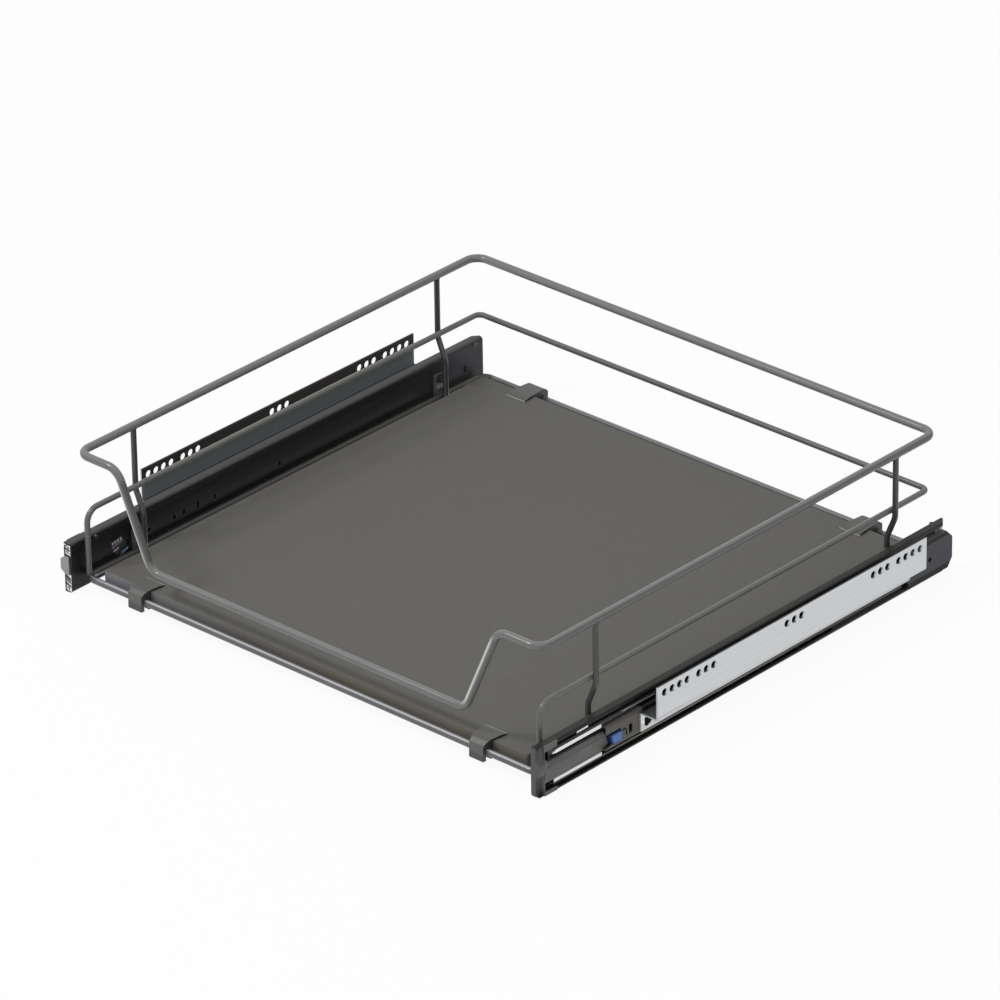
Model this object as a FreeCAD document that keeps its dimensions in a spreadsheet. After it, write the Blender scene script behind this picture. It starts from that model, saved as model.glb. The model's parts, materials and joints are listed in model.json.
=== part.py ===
import FreeCAD, Part
import math
import os
import Sketcher
from FreeCAD import Placement, Rotation, Vector

# Telescopic pull-out drawer: a wire basket with a loose base panel, carried by a
# pair of three-part ball slides on Z brackets that screw to the cabinet sides.
# X runs to the right, Y to the back, Z up. The origin is the middle of the
# footprint, level with the underside of the drawer rails. Millimetres.

doc = FreeCAD.newDocument("PullOutDrawer")
sheet = doc.addObject("Spreadsheet::Sheet", "Sizes")

# Every driving dimension: name, value, what it measures.
DRIVING = [
    ("cabinet_opening", 568.0, "clear width between the cabinet sides"),
    ("slide_length", 500.0, "length of a drawer rail"),
    ("slide_height", 45.0, "height of a drawer rail"),
    ("slide_thickness", 12.7, "drawer rail back to cabinet rail back"),
    ("rail_depth", 9.7, "depth of the drawer rail channel"),
    ("rail_sheet", 1.2, "sheet of all three rails"),
    ("rail_bend", 2.4, "bend radius of the rails at the sheet middle"),
    ("lip_bend", 1.1, "bend radius of the rail lips at the sheet middle"),
    ("drawer_lip", 2.4, "height of the drawer rail lip"),
    ("middle_lip", 2.6, "height of the middle rail lip"),
    ("race_clearance", 0.05, "play between a ball and a race"),
    ("outer_ball", 4.76, "diameter of the outer balls"),
    ("inner_ball", 4.0, "diameter of the inner balls"),
    ("ball_line", 6.0, "ball centres from the drawer rail back"),
    ("ball_pitch", 16.0, "ball spacing along a cage"),
    ("outer_ball_count", 13, "balls in one outer row"),
    ("inner_ball_count", 7, "balls in one inner row"),
    ("cage_sheet", 0.8, "sheet of the ball cages"),
    ("cage_gap", 0.4, "gap between a cage and the rail webs"),
    ("cage_bend", 1.0, "bend radius of the cages at the sheet middle"),
    ("pocket_play", 0.15, "play of a ball in its cage pocket"),
    ("cage_tip_gap", 0.4, "cage flange tips inside the drawer rail tips"),
    ("outer_cage_setback", 141.0, "outer cage behind the drawer rail front"),
    ("outer_cage_length", 213.0, "length of the outer cage"),
    ("inner_cage_setback", 203.0, "inner cage behind the drawer rail front"),
    ("inner_cage_length", 111.0, "length of the inner cage"),
    ("middle_setback", 15.5, "middle rail behind the drawer rail front"),
    ("middle_rear_gap", 5.5, "middle rail rear end ahead of the soft-close unit"),
    ("cabinet_setback", 74.0, "cabinet rail behind the drawer rail front"),
    ("cabinet_flange_gap", 5.6, "cabinet rail flange tip from the drawer rail back"),
    ("bracket_reach", 18.8, "cabinet rail back to the cabinet side"),
    ("bracket_sheet", 1.5, "sheet of the wall brackets"),
    ("bracket_bend", 1.6, "bend radius of the brackets at the sheet middle"),
    ("bracket_setback", 39.5, "bracket behind the cabinet rail front"),
    ("bracket_drop", 9.1, "bracket lower edge below the slide axis"),
    ("bracket_step", 7.9, "bracket ledge above the slide axis"),
    ("bracket_rise", 36.5, "bracket top edge above the slide axis"),
    ("bracket_hole", 6.5, "diameter of the wall fixing holes"),
    ("bracket_hole_pitch", 9.0, "spacing of the wall fixing holes"),
    ("bracket_hole_edge", 7.0, "wall fixing holes below the top edge"),
    ("tool_hole_setback", 8.0, "tool hole in the bracket's lower leaf behind its front"),
    ("tool_hole_length", 7.0, "length of the tool hole"),
    ("tool_hole_height", 7.4, "height of the tool hole"),
    ("tool_hole_drop", 2.0, "tool hole below the slide axis"),
    ("end_group_offset", 22.0, "middle of the end hole groups from the bracket end"),
    ("next_group_offset", 58.5, "middle of the next hole groups from the bracket end"),
    ("end_group_holes", 4, "holes in each end group"),
    ("inner_group_holes", 3, "holes in each of the other groups"),
    ("rivet_shank", 4.0, "rivet shank diameter"),
    ("rivet_head", 8.0, "rivet head diameter"),
    ("rivet_head_height", 1.3, "rivet head height"),
    ("rivet_tail", 6.4, "diameter of the rivet's inner head"),
    ("front_rivet", 18.0, "front rivet behind the bracket front"),
    ("rear_rivet", 11.5, "rear rivet ahead of the soft-close unit"),
    ("rivet_play", 0.05, "play of a pin, rivet or screw in its hole"),
    ("housing_length", 56.5, "length of the soft-close housing"),
    ("housing_overhang", 2.0, "soft-close housing past the drawer rail end"),
    ("housing_height", 35.0, "height of the soft-close housing"),
    ("housing_drop", 18.5, "housing underside below the slide axis"),
    ("housing_wall", 1.5, "wall of the soft-close housing"),
    ("housing_gap", 0.6, "housing cover from the drawer rail web"),
    ("housing_chamfer", 8.0, "corner cut of the soft-close housing"),
    ("housing_toe", 5.6, "length of the lower rear corner cut of the housing"),
    ("housing_corner", 1.0, "rounded corners of the housing and its cover"),
    ("cover_sheet", 1.0, "thickness of the soft-close cover"),
    ("lug_length", 19.0, "housing lug inside the cabinet rail"),
    ("lug_depth", 3.5, "thickness of the housing lug"),
    ("lug_play", 1.5, "housing lug clear of the cabinet rail flanges"),
    ("adjust_hole", 3.2, "diameter of the hole in the housing side"),
    ("adjust_setback", 8.0, "hole in the housing side behind the housing front"),
    ("adjust_drop", 3.2, "hole in the housing side below the slide axis"),
    ("damper_diameter", 7.0, "diameter of the damper cylinder"),
    ("damper_length", 30.0, "length of the damper cylinder"),
    ("damper_rod", 2.4, "diameter of the damper rod"),
    ("damper_room", 1.0, "room above the damper in its bay"),
    ("damper_gap", 0.3, "damper from the soft-close cover"),
    ("spring_diameter", 5.0, "outside diameter of the closing spring"),
    ("spring_wire", 0.7, "wire of the closing spring"),
    ("spring_pitch", 2.2, "spacing of the closing spring's coils"),
    ("catch_pin", 3.0, "diameter of the catch pin on the drawer rail"),
    ("catch_pin_inset", 10.0, "catch pin ahead of the drawer rail end"),
    ("catch_pin_rise", 19.0, "catch pin above the slide axis"),
    ("catch_pin_head", 5.4, "diameter of the catch pin head"),
    ("catch_pin_head_height", 0.8, "height of the catch pin head"),
    ("catch_length", 11.0, "length of the soft-close catch"),
    ("catch_width", 4.0, "width of the soft-close catch"),
    ("catch_play", 0.3, "gap between the catch and what it works against"),
    ("catch_gap", 1.0, "catch from the soft-close cover"),
    ("catch_lead", 4.0, "housing slot ahead of the catch pin"),
    ("catch_tip_room", 2.5, "housing slot behind the catch for its tilt"),
    ("catch_front_gap", 1.0, "catch front behind the start of its slot"),
    ("catch_pivot_rise", 6.0, "catch pivot above the slide axis"),
    ("catch_pivot_setback", 1.4, "catch pivot behind the horn's face"),
    ("catch_foot", 3.0, "catch below its pivot"),
    ("catch_heel", 3.2, "catch horn front to back at the foot"),
    ("catch_horn_tip", 2.0, "catch horn front to back at the tip"),
    ("catch_horn_slope", 1.0, "height of the slope at the horn tip"),
    ("catch_seat_drop", 0.9, "catch seat below the pin"),
    ("catch_front_drop", 2.4, "catch front below the housing top"),
    ("catch_edge", 1.0, "rounded foot of the catch"),
    ("catch_tip_edge", 0.5, "rounded tips of the catch"),
    ("pivot_pin", 2.5, "diameter of the catch and lever pins"),
    ("lever_width", 4.2, "width of the release lever arm"),
    ("lever_setback", 21.0, "release lever pin behind the cabinet rail front"),
    ("lever_pin_rise", 6.9, "release lever pin above the cabinet rail's lower flange"),
    ("lever_pin_reach", 0.8, "lever pin past the lever"),
    ("lever_front_gap", 4.3, "upper front corner of the lever behind the cabinet rail front"),
    ("lever_front_slope", 2.4, "lower front corner of the lever behind the upper one"),
    ("lever_height", 10.5, "height of the release lever"),
    ("lever_hub_front", 5.0, "front of the high lever end ahead of its pin"),
    ("lever_hub_rear", 3.5, "rear of the high lever end behind its pin"),
    ("lever_hub_rise", 1.4, "high lever end above the arm"),
    ("lever_hub_corner", 3.0, "corner radius of the high lever end"),
    ("lever_edge", 1.0, "rounded corners of the lever arm and tab"),
    ("lever_tab_inset", 0.6, "lever tab behind the lever's front edge"),
    ("lever_tab_lift", 2.3, "lever tab above the lever's underside"),
    ("lever_tab_length", 11.4, "length of the release lever tab"),
    ("lever_tab_reach", 1.4, "release lever tab out of the rail channel"),
    ("lever_floor_gap", 0.9, "release lever above the cabinet rail flange"),
    ("lever_travel_room", 2.4, "rail notch above the release lever"),
    ("notch_length", 17.7, "length of the notch in the cabinet rail front"),
    ("notch_lift", 2.6, "notch sill above the cabinet rail flange"),
    ("notch_toe_lift", 0.8, "notch mouth above the cabinet rail flange"),
    ("notch_ramp", 6.0, "length of the slope from the notch mouth to its sill"),
    ("notch_corner", 1.5, "corner radius of the cabinet rail notch"),
    ("cabinet_slot_setback", 28.8, "slot in the cabinet rail behind its front"),
    ("cabinet_slot_drop", 1.5, "slot in the cabinet rail below the slide axis"),
    ("cabinet_slot_width", 4.2, "width of the slot in the cabinet rail"),
    ("cabinet_slot_length", 8.3, "height of the slot in the cabinet rail"),
    ("top_wire", 7.0, "diameter of the top rail wire"),
    ("side_wire", 5.0, "diameter of the middle rail and hoop wires"),
    ("ring_wire", 6.0, "diameter of the base ring wire"),
    ("top_inset", 0.1, "top rail inside the drawer rail back"),
    ("middle_inset", 4.9, "middle rail inside the drawer rail back"),
    ("basket_setback", 12.5, "basket front behind the drawer rail front"),
    ("basket_rear_gap", 5.5, "base ring rear ahead of the drawer rail end"),
    ("ring_height", 12.0, "base ring wire above the drawer rail underside"),
    ("middle_height", 60.3, "middle rail above the base ring"),
    ("top_height", 112.8, "top rail above the base ring"),
    ("front_dip", 31.0, "low front rail above the base ring"),
    ("plan_bend", 12.0, "corner radius of the top rail in plan"),
    ("side_bend", 12.0, "bend radius at the front of the middle rail"),
    ("middle_corner", 6.0, "bend radius of the middle rail's rear corners"),
    ("ring_bend", 10.0, "corner radius of the base ring"),
    ("dip_bend", 15.0, "bend radius of the front dip"),
    ("dip_top", 44.4, "start of the front dip inside the corner"),
    ("dip_foot", 80.4, "end of the front dip inside the corner"),
    ("hoop_front", 64.0, "front hoop behind the basket front"),
    ("hoop_rear", 51.0, "rear hoop ahead of the basket rear"),
    ("hoop_drop", 5.5, "hoop cross wire below the base ring"),
    ("hoop_foot_inset", 4.1, "hoop foot inside the base ring"),
    ("hoop_knee_top", 55.0, "upper knee of a hoop above the base ring"),
    ("hoop_knee_foot", 35.0, "lower knee of a hoop above the base ring"),
    ("hoop_bend", 8.0, "bottom bend radius of a hoop"),
    ("knee_bend", 15.0, "knee radius of a hoop"),
    ("weld_depth", 1.0, "how far a wire end sinks into the wire it is welded to"),
    ("weld_bite", 0.15, "how far a tab sinks into the wire it is welded to"),
    ("top_rear_inset", 1.0, "top rail rear ahead of the base ring rear"),
    ("middle_rear_inset", 3.7, "middle rail rear ahead of the base ring rear"),
    ("panel_side_gap", 15.1, "base panel inside the base ring at the sides"),
    ("panel_front_gap", 5.0, "base panel behind the front ring wire"),
    ("panel_rear_gap", 14.0, "base panel ahead of the rear ring wire"),
    ("panel_thickness", 12.0, "thickness of the base panel"),
    ("panel_edge", 0.8, "rounded edge of the base panel"),
    ("panel_corner", 2.0, "corner radius of the base panel in plan"),
    ("clip_inset", 60.5, "front panel clips inside the base ring"),
    ("rear_clip_inset", 63.0, "rear panel clips inside the base ring"),
    ("clip_width", 20.5, "width of a panel clip's tongue"),
    ("clip_block_width", 16.0, "width of a panel clip below the panel's top"),
    ("clip_reach", 14.0, "panel clip over the panel edge"),
    ("clip_tongue", 1.8, "thickness of a panel clip tongue"),
    ("clip_wall", 2.6, "panel clip wall round the wire"),
    ("clip_play", 0.05, "play between a clip and its wire"),
    ("clip_snap", 0.61, "clip mouth narrower than its bore on each side"),
    ("clip_leg", 1.4, "thickness of the clip leg behind the wire"),
    ("clip_leg_drop", 1.4, "clip legs below the clip body"),
    ("clip_shoulder", 6.2, "length of the slope over the clip's outer edge"),
    ("clip_shoulder_drop", 4.3, "height of the slope over the clip's outer edge"),
    ("clip_crown", 0.3, "rise of the tongue towards its tip"),
    ("clip_tip", 6.0, "length of the slope at the tongue tip"),
    ("clip_tip_height", 0.9, "height of the tongue tip"),
    ("clip_jaw_setback", 5.0, "lower jaw shorter than the tongue"),
    ("tab_sheet", 1.5, "thickness of a frame tab"),
    ("tab_width", 14.0, "width of a frame tab"),
    ("tab_height", 28.0, "height of a frame tab"),
    ("tab_foot", 4.0, "frame tab above the drawer rail underside"),
    ("tab_corner", 3.0, "corner radius of a frame tab"),
    ("screw_height", 27.0, "frame screws above the drawer rail underside"),
    ("screw_shank", 4.0, "frame screw diameter"),
    ("screw_head", 7.4, "frame screw head diameter"),
    ("screw_head_height", 2.2, "frame screw head height"),
    ("cap_length", 7.0, "length of the front cap block"),
    ("cap_overhang", 2.0, "front cap ahead of the drawer rail"),
    ("cap_corner", 1.8, "front cap corner inside the rail bend"),
    ("cap_step", 1.4, "front cap step behind the rail lips"),
    ("cap_play", 0.1, "front cap inside the rail lips"),
    ("cap_edge", 1.0, "rounded edges of the front cap"),
    ("cap_nose", 19.0, "height of the front cap nose"),
    ("cap_nose_start", 3.0, "front cap nose from the drawer rail back"),
    ("cap_nose_reach", 1.0, "front cap nose past the rail lips"),
    ("cap_nose_length", 2.0, "front cap nose behind the cap block"),
    ("cap_nose_corner", 3.0, "outer corner radius of the front cap nose"),
    ("tongue_height", 16.2, "height of the front cap tongue"),
    ("tongue_rise", 5.2, "tongue top above the slide axis"),
    ("tongue_tip_reach", 5.4, "tongue tip past the cabinet rail front, inside the rail"),
    ("tongue_point", 8.0, "length of the tongue's pointed end"),
    ("tongue_root", 1.0, "tongue and arm overlap with the cap block"),
    ("tongue_chin", 5.6, "length of the slope below the tongue tip"),
    ("tongue_chin_rise", 2.8, "lower corner of the tongue's point above its underside"),
    ("tongue_tip_rise", 4.4, "tongue tip above its underside"),
    ("tongue_brow", 3.6, "length of the slope above the tongue tip"),
    ("tongue_face_gap", 0.3, "tongue face inside the rail lips"),
    ("ridge_height", 3.2, "sloped ridge on the tongue below its top"),
    ("ridge_slope", 2.0, "ridge top inside the tongue face"),
    ("groove_setback", 2.5, "groove in the tongue behind the cap block"),
    ("groove_end_gap", 5.0, "groove in the tongue ahead of the tip"),
    ("groove_height", 0.8, "height of the groove under the ridge"),
    ("groove_depth", 0.8, "depth of the groove under the ridge"),
    ("arm_play", 0.4, "front cap arms ahead of the rail lips"),
    ("arm_sheet", 1.2, "thickness of the front cap arms"),
    ("arm_edge_gap", 0.2, "front cap arms inside the rail's outer height"),
    ("arm_middle_gap", 0.5, "upper cap arm above the middle rail"),
    ("lower_arm_height", 3.4, "height of the lower front cap arm"),
    ("channel_play", 0.6, "gap between the tongue and the middle rail"),
    ("web_slot_width", 3.0, "width of the drawer rail slots"),
    ("web_slot_length", 6.0, "length of the drawer rail slots"),
    ("web_hole", 5.0, "diameter of the drawer rail hole"),
    ("web_hole_setback", 90.5, "drawer rail hole behind the rail front"),
    ("first_slot", 120.5, "first drawer rail slot behind the rail front"),
    ("second_slot", 131.5, "second drawer rail slot behind the rail front"),
    ("third_slot", 148.5, "third drawer rail slot behind the rail front"),
    ("fourth_slot", 168.5, "fourth drawer rail slot behind the rail front"),
    ("fifth_slot", 246.5, "fifth drawer rail slot behind the rail front"),
    ("rear_slot", 23.0, "last drawer rail slot ahead of the rail end"),
    ("high_hole_setback", 29.5, "small high hole behind the drawer rail front"),
    ("high_hole_rise", 18.0, "small high hole above the slide axis"),
    ("slot_rounding", 0.45, "corner radius of a slot over its short side"),
    ("window_rounding", 0.3, "corner radius of a window over its short side"),
    ("rail_end_cut", 8.0, "length of the slanted flange ends"),
    ("end_cut_start", 3.2, "slanted flange ends from the drawer rail back"),
    ("lip_relief", 20.0, "front length of the drawer rail without lips"),
    ("lip_relief_bite", 0.2, "how far the lips are cut back past their sheet"),
    ("window_setback", 50.0, "latch window behind the drawer rail front"),
    ("window_length", 17.0, "length of the latch window"),
    ("window_height", 11.0, "height of the latch window"),
    ("window_drop", 2.0, "latch window below the slide axis"),
    ("window_room_along", 4.0, "middle rail window longer than the latch window"),
    ("window_room_high", 2.0, "middle rail window higher than the latch window"),
    ("oval_count", 3, "oval holes in the middle rail"),
    ("oval_first", 110.0, "first oval behind the middle rail front"),
    ("oval_pitch", 100.0, "spacing of the ovals"),
    ("oval_length", 12.0, "length of an oval"),
    ("oval_height", 5.0, "height of an oval"),
    ("relief_length", 12.8, "length of the openings in a cage web"),
    ("cut_clear", 1.0, "how far a cut starts outside the sheet it cuts"),
]


def write_sheet():
    for row, (alias, value, meaning) in enumerate(DRIVING, start=1):
        sheet.set("A%d" % row, meaning)
        sheet.set("B%d" % row, str(value))
        sheet.setAlias("B%d" % row, alias)
    doc.recompute()


write_sheet()


def size(alias):
    return float(sheet.get(alias))


# Sizes worked out from the driving ones.
wall_x = size("cabinet_opening") / 2
cabinet_back = wall_x - size("bracket_reach")
rail_back = cabinet_back - size("slide_thickness")
slide_axis = size("slide_height") / 2
rail_front = -size("slide_length") / 2
rail_rear = size("slide_length") / 2
sheet_t = size("rail_sheet")
outer_race = slide_axis - sheet_t
outer_ball_rise = outer_race - size("race_clearance") - size("outer_ball") / 2
middle_half = outer_ball_rise - size("outer_ball") / 2 - size("race_clearance")
inner_race = middle_half - sheet_t
inner_ball_rise = inner_race - size("race_clearance") - size("inner_ball") / 2
cabinet_half = inner_ball_rise - size("inner_ball") / 2 - size("race_clearance")
outer_cage_web = sheet_t + size("cage_gap")
middle_web = outer_cage_web + size("cage_sheet") + size("cage_gap")
inner_cage_web = middle_web + sheet_t + size("cage_gap")
housing_front = rail_rear + size("housing_overhang") - size("housing_length")
cabinet_front = rail_front + size("cabinet_setback")
middle_front = rail_front + size("middle_setback")
bracket_front = cabinet_front + size("bracket_setback")
bracket_length = housing_front - bracket_front
basket_front = rail_front + size("basket_setback")
ring_rear = rail_rear - size("basket_rear_gap")
ring_half = rail_back - size("tab_sheet") - size("ring_wire") / 2 + size("weld_bite")
ring_z = size("ring_height")
hoop_z = ring_z - size("hoop_drop")
panel_bottom = hoop_z + size("side_wire") / 2
panel_top = panel_bottom + size("panel_thickness")
panel_front = basket_front + size("panel_front_gap")
panel_rear = ring_rear - size("panel_rear_gap")
panel_half = ring_half - size("panel_side_gap")
front_hoop_y = basket_front + size("hoop_front")
rear_hoop_y = ring_rear - size("hoop_rear")
cabinet_floor = sheet_t - cabinet_half
cover_inner = sheet_t + size("housing_gap")
cover_outer = cover_inner + size("cover_sheet")
cut_clear = size("cut_clear")
SIDES = (("left", -1), ("right", 1))

parts = []


def keep(obj, label):
    obj.Label = label
    parts.append(obj)
    return obj


# Sketch and feature helpers.
def new_body(label):
    return keep(doc.addObject("PartDesign::Body", label), label)


def sketch_on(body, role, name, offset=0.0):
    plane = [f for f in body.Origin.OriginFeatures if f.Role == role][0]
    sketch = body.newObject("Sketcher::SketchObject", name)
    sketch.AttachmentSupport = [(plane, "")]
    sketch.MapMode = "FlatFace"
    sketch.AttachmentOffset = Placement(Vector(0, 0, offset), Rotation())
    return sketch


def outline(sketch, corners, radii=None):
    """Closed outline through the corners, each rounded by its own radius."""
    count = len(corners)
    radii = radii or [0.0] * count
    starts, ends = [], []
    for index, corner in enumerate(corners):
        before = Vector(*corners[index - 1], 0) - Vector(*corner, 0)
        after = Vector(*corners[(index + 1) % count], 0) - Vector(*corner, 0)
        before.normalize()
        after.normalize()
        half = before.getAngle(after) / 2
        reach = radii[index] / math.tan(half) if radii[index] else 0.0
        starts.append(Vector(*corner, 0) + before * reach)
        ends.append(Vector(*corner, 0) + after * reach)
    for index, corner in enumerate(corners):
        if radii[index]:
            middle = (starts[index] + ends[index]) / 2
            chord = (ends[index] - starts[index]).Length / 2
            inward = middle - Vector(*corner, 0)
            inward.normalize()
            centre = middle + inward * math.sqrt(radii[index] ** 2 - chord ** 2)
            crown = centre - inward * radii[index]
            sketch.addGeometry(Part.Arc(starts[index], crown, ends[index]), False)
        sketch.addGeometry(Part.LineSegment(ends[index], starts[(index + 1) % count]), False)


def folded(path, bends, thickness):
    """Outline corners and radii of a strip folded along the path."""
    points = [Vector(*p, 0) for p in path]
    steps = [(b - a).normalize() for a, b in zip(points, points[1:])]
    sides = ([], [])
    for index, point in enumerate(points):
        for side, sign in ((0, 1), (1, -1)):
            step = steps[min(index, len(steps) - 1)]
            normal = Vector(-step.y, step.x, 0) * sign * thickness / 2
            if 0 < index < len(points) - 1:
                last = steps[index - 1]
                turn = last.x * step.y - last.y * step.x
                lean = Vector(-last.y, last.x, 0) * sign * thickness / 2
                spread = 1 + normal.dot(lean) / (thickness / 2) ** 2
                corner = point + (normal + lean) / spread
                inner = (turn > 0) == (sign > 0)
                radius = bends[index - 1] + (-thickness / 2 if inner else thickness / 2)
                sides[side].append(((corner.x, corner.y), radius))
            else:
                corner = point + normal
                sides[side].append(((corner.x, corner.y), 0.0))
    ring = sides[0] + sides[1][::-1]
    return [c for c, _ in ring], [r for _, r in ring]


def circle(sketch, x, y, diameter):
    index = sketch.addGeometry(Part.Circle(Vector(x, y, 0), Vector(0, 0, 1), 1.0), False)
    row = sketch.addConstraint(Sketcher.Constraint("Diameter", index, 2.0))
    sketch.setExpression("Constraints[%d]" % row, diameter)


def slot_outline(sketch, x, y, wide, high, rounding="slot_rounding"):
    corners = [(x - wide / 2, y - high / 2), (x + wide / 2, y - high / 2),
               (x + wide / 2, y + high / 2), (x - wide / 2, y + high / 2)]
    outline(sketch, corners, [min(wide, high) * size(rounding)] * 4)


def pad(body, sketch, length, backwards=False):
    feature = body.newObject("PartDesign::Pad", sketch.Name + "_pad")
    feature.Profile = sketch
    feature.setExpression("Length", length)
    feature.Reversed = backwards
    sketch.Visibility = False
    return feature


def pocket(body, sketch, length, backwards=False):
    before = solid_volume(body)
    feature = body.newObject("PartDesign::Pocket", sketch.Name + "_cut")
    feature.Profile = sketch
    feature.setExpression("Length", length)
    feature.Reversed = backwards
    if solid_volume(body) >= before:
        raise RuntimeError("nothing was cut by " + feature.Name)
    return feature


def solid_volume(body):
    doc.recompute()
    return body.Shape.Volume


def place(obj, x="0", y="0", z="0"):
    obj.setExpression("Placement.Base.x", x)
    obj.setExpression("Placement.Base.y", y)
    obj.setExpression("Placement.Base.z", z)


# Bent wire. The path is straight runs joined by tangent arcs.
def wire_path(points, radii, closed=False):
    vectors = [Vector(*p) for p in points]
    count = len(vectors)
    cuts = []
    for index, point in enumerate(vectors):
        if not closed and index in (0, count - 1):
            cuts.append((point, None, point))
            continue
        before = (vectors[index - 1] - point).normalize()
        after = (vectors[(index + 1) % count] - point).normalize()
        half = before.getAngle(after) / 2
        reach = radii[index] / math.tan(half)
        bisector = (before + after).normalize()
        crown = point + bisector * (radii[index] / math.sin(half) - radii[index])
        cuts.append((point + before * reach, crown, point + after * reach))
    edges = []
    for index, (start, crown, end) in enumerate(cuts):
        if crown is not None:
            edges.append(Part.Arc(start, crown, end).toShape())
        if closed or index < count - 1:
            edges.append(Part.LineSegment(end, cuts[(index + 1) % count][0]).toShape())
    return Part.Wire(Part.__sortEdges__(edges))


def bent_wire(label, points, radii, diameter, closed=False):
    path = wire_path(points, radii, closed)
    first = path.OrderedEdges[0]
    start = first.valueAt(first.FirstParameter)
    tangent = first.tangentAt(first.FirstParameter)
    ring = Part.Wire(Part.makeCircle(diameter / 2, start, tangent))
    shape = path.makePipeShell([ring], True, False)
    wanted = math.pi * diameter ** 2 / 4 * path.Length
    if abs(shape.Volume - wanted) > wanted * 0.01:
        raise RuntimeError("wire volume is off on " + label)
    feature = keep(doc.addObject("Part::Feature", label), label)
    feature.Shape = shape
    feature.Placement = Placement()
    return feature


def basket_top_rail():
    half = rail_back - size("top_inset")
    high = ring_z + size("top_height")
    low = ring_z + size("front_dip")
    front, rear = basket_front, ring_rear - size("top_rear_inset")
    top, foot = half - size("dip_top"), half - size("dip_foot")
    right = [(foot, front, low), (top, front, high), (half, front, high), (half, rear, high)]
    left = [(-x, y, z) for x, y, z in right[::-1]]
    bends = [size("dip_bend"), size("dip_bend"), size("plan_bend"), size("plan_bend")]
    bent_wire("basket_top_rail", right + left, bends + bends[::-1], size("top_wire"), True)


def basket_middle_rail():
    half = rail_back - size("middle_inset")
    high = ring_z + size("middle_height")
    foot = ring_z + size("ring_wire") / 2 - size("weld_depth")
    front = basket_front + size("side_wire") / 2
    rear = ring_rear - size("middle_rear_inset")
    right = [(half, front, foot), (half, front, high), (half, rear, high)]
    left = [(-x, y, z) for x, y, z in right[::-1]]
    bends = [0.0, size("side_bend"), size("middle_corner")]
    bent_wire("basket_middle_rail", right + left, bends + bends[::-1], size("side_wire"))


def basket_base_ring():
    body = new_body("basket_base_ring")
    spine = sketch_on(body, "XY_Plane", "ring_spine")
    corners = [(ring_half, basket_front), (ring_half, ring_rear),
               (-ring_half, ring_rear), (-ring_half, basket_front)]
    outline(spine, corners, [size("ring_bend")] * 4)
    section = sketch_on(body, "XZ_Plane", "ring_section")
    circle(section, ring_half, 0, "Sizes.ring_wire")
    pipe = body.newObject("PartDesign::AdditivePipe", "ring_sweep")
    pipe.Profile = section
    pipe.Spine = (spine, [])
    place(body, z="Sizes.ring_height")


def basket_hoop(label, along):
    top_half = rail_back - size("top_inset")
    foot_half = ring_half - size("hoop_foot_inset")
    top = ring_z + size("top_height") - size("top_wire") / 2 + size("weld_depth")
    right = [(top_half, along, top), (top_half, along, ring_z + size("hoop_knee_top")),
             (foot_half, along, ring_z + size("hoop_knee_foot")), (foot_half, along, hoop_z)]
    left = [(-x, y, z) for x, y, z in right[::-1]]
    bends = [0.0, size("knee_bend"), size("knee_bend"), size("hoop_bend")]
    bent_wire(label, right + left, bends + bends[::-1], size("side_wire"))


def base_panel():
    body = new_body("base_panel")
    plan = sketch_on(body, "XY_Plane", "panel_plan")
    corners = [(-panel_half, panel_front), (panel_half, panel_front),
               (panel_half, panel_rear), (-panel_half, panel_rear)]
    outline(plan, corners, [size("panel_corner")] * 4)
    board = pad(body, plan, "Sizes.panel_thickness")
    doc.recompute()
    flat = [i for i, e in enumerate(board.Shape.Edges, start=1)
            if abs(e.BoundBox.ZLength) < 0.01]
    rounding = body.newObject("PartDesign::Fillet", "panel_edges")
    rounding.Base = (board, ["Edge%d" % i for i in flat])
    rounding.setExpression("Radius", "Sizes.panel_edge")
    body.Tip = rounding
    place(body, z="Sizes.ring_height - Sizes.hoop_drop + Sizes.side_wire / 2")


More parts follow.
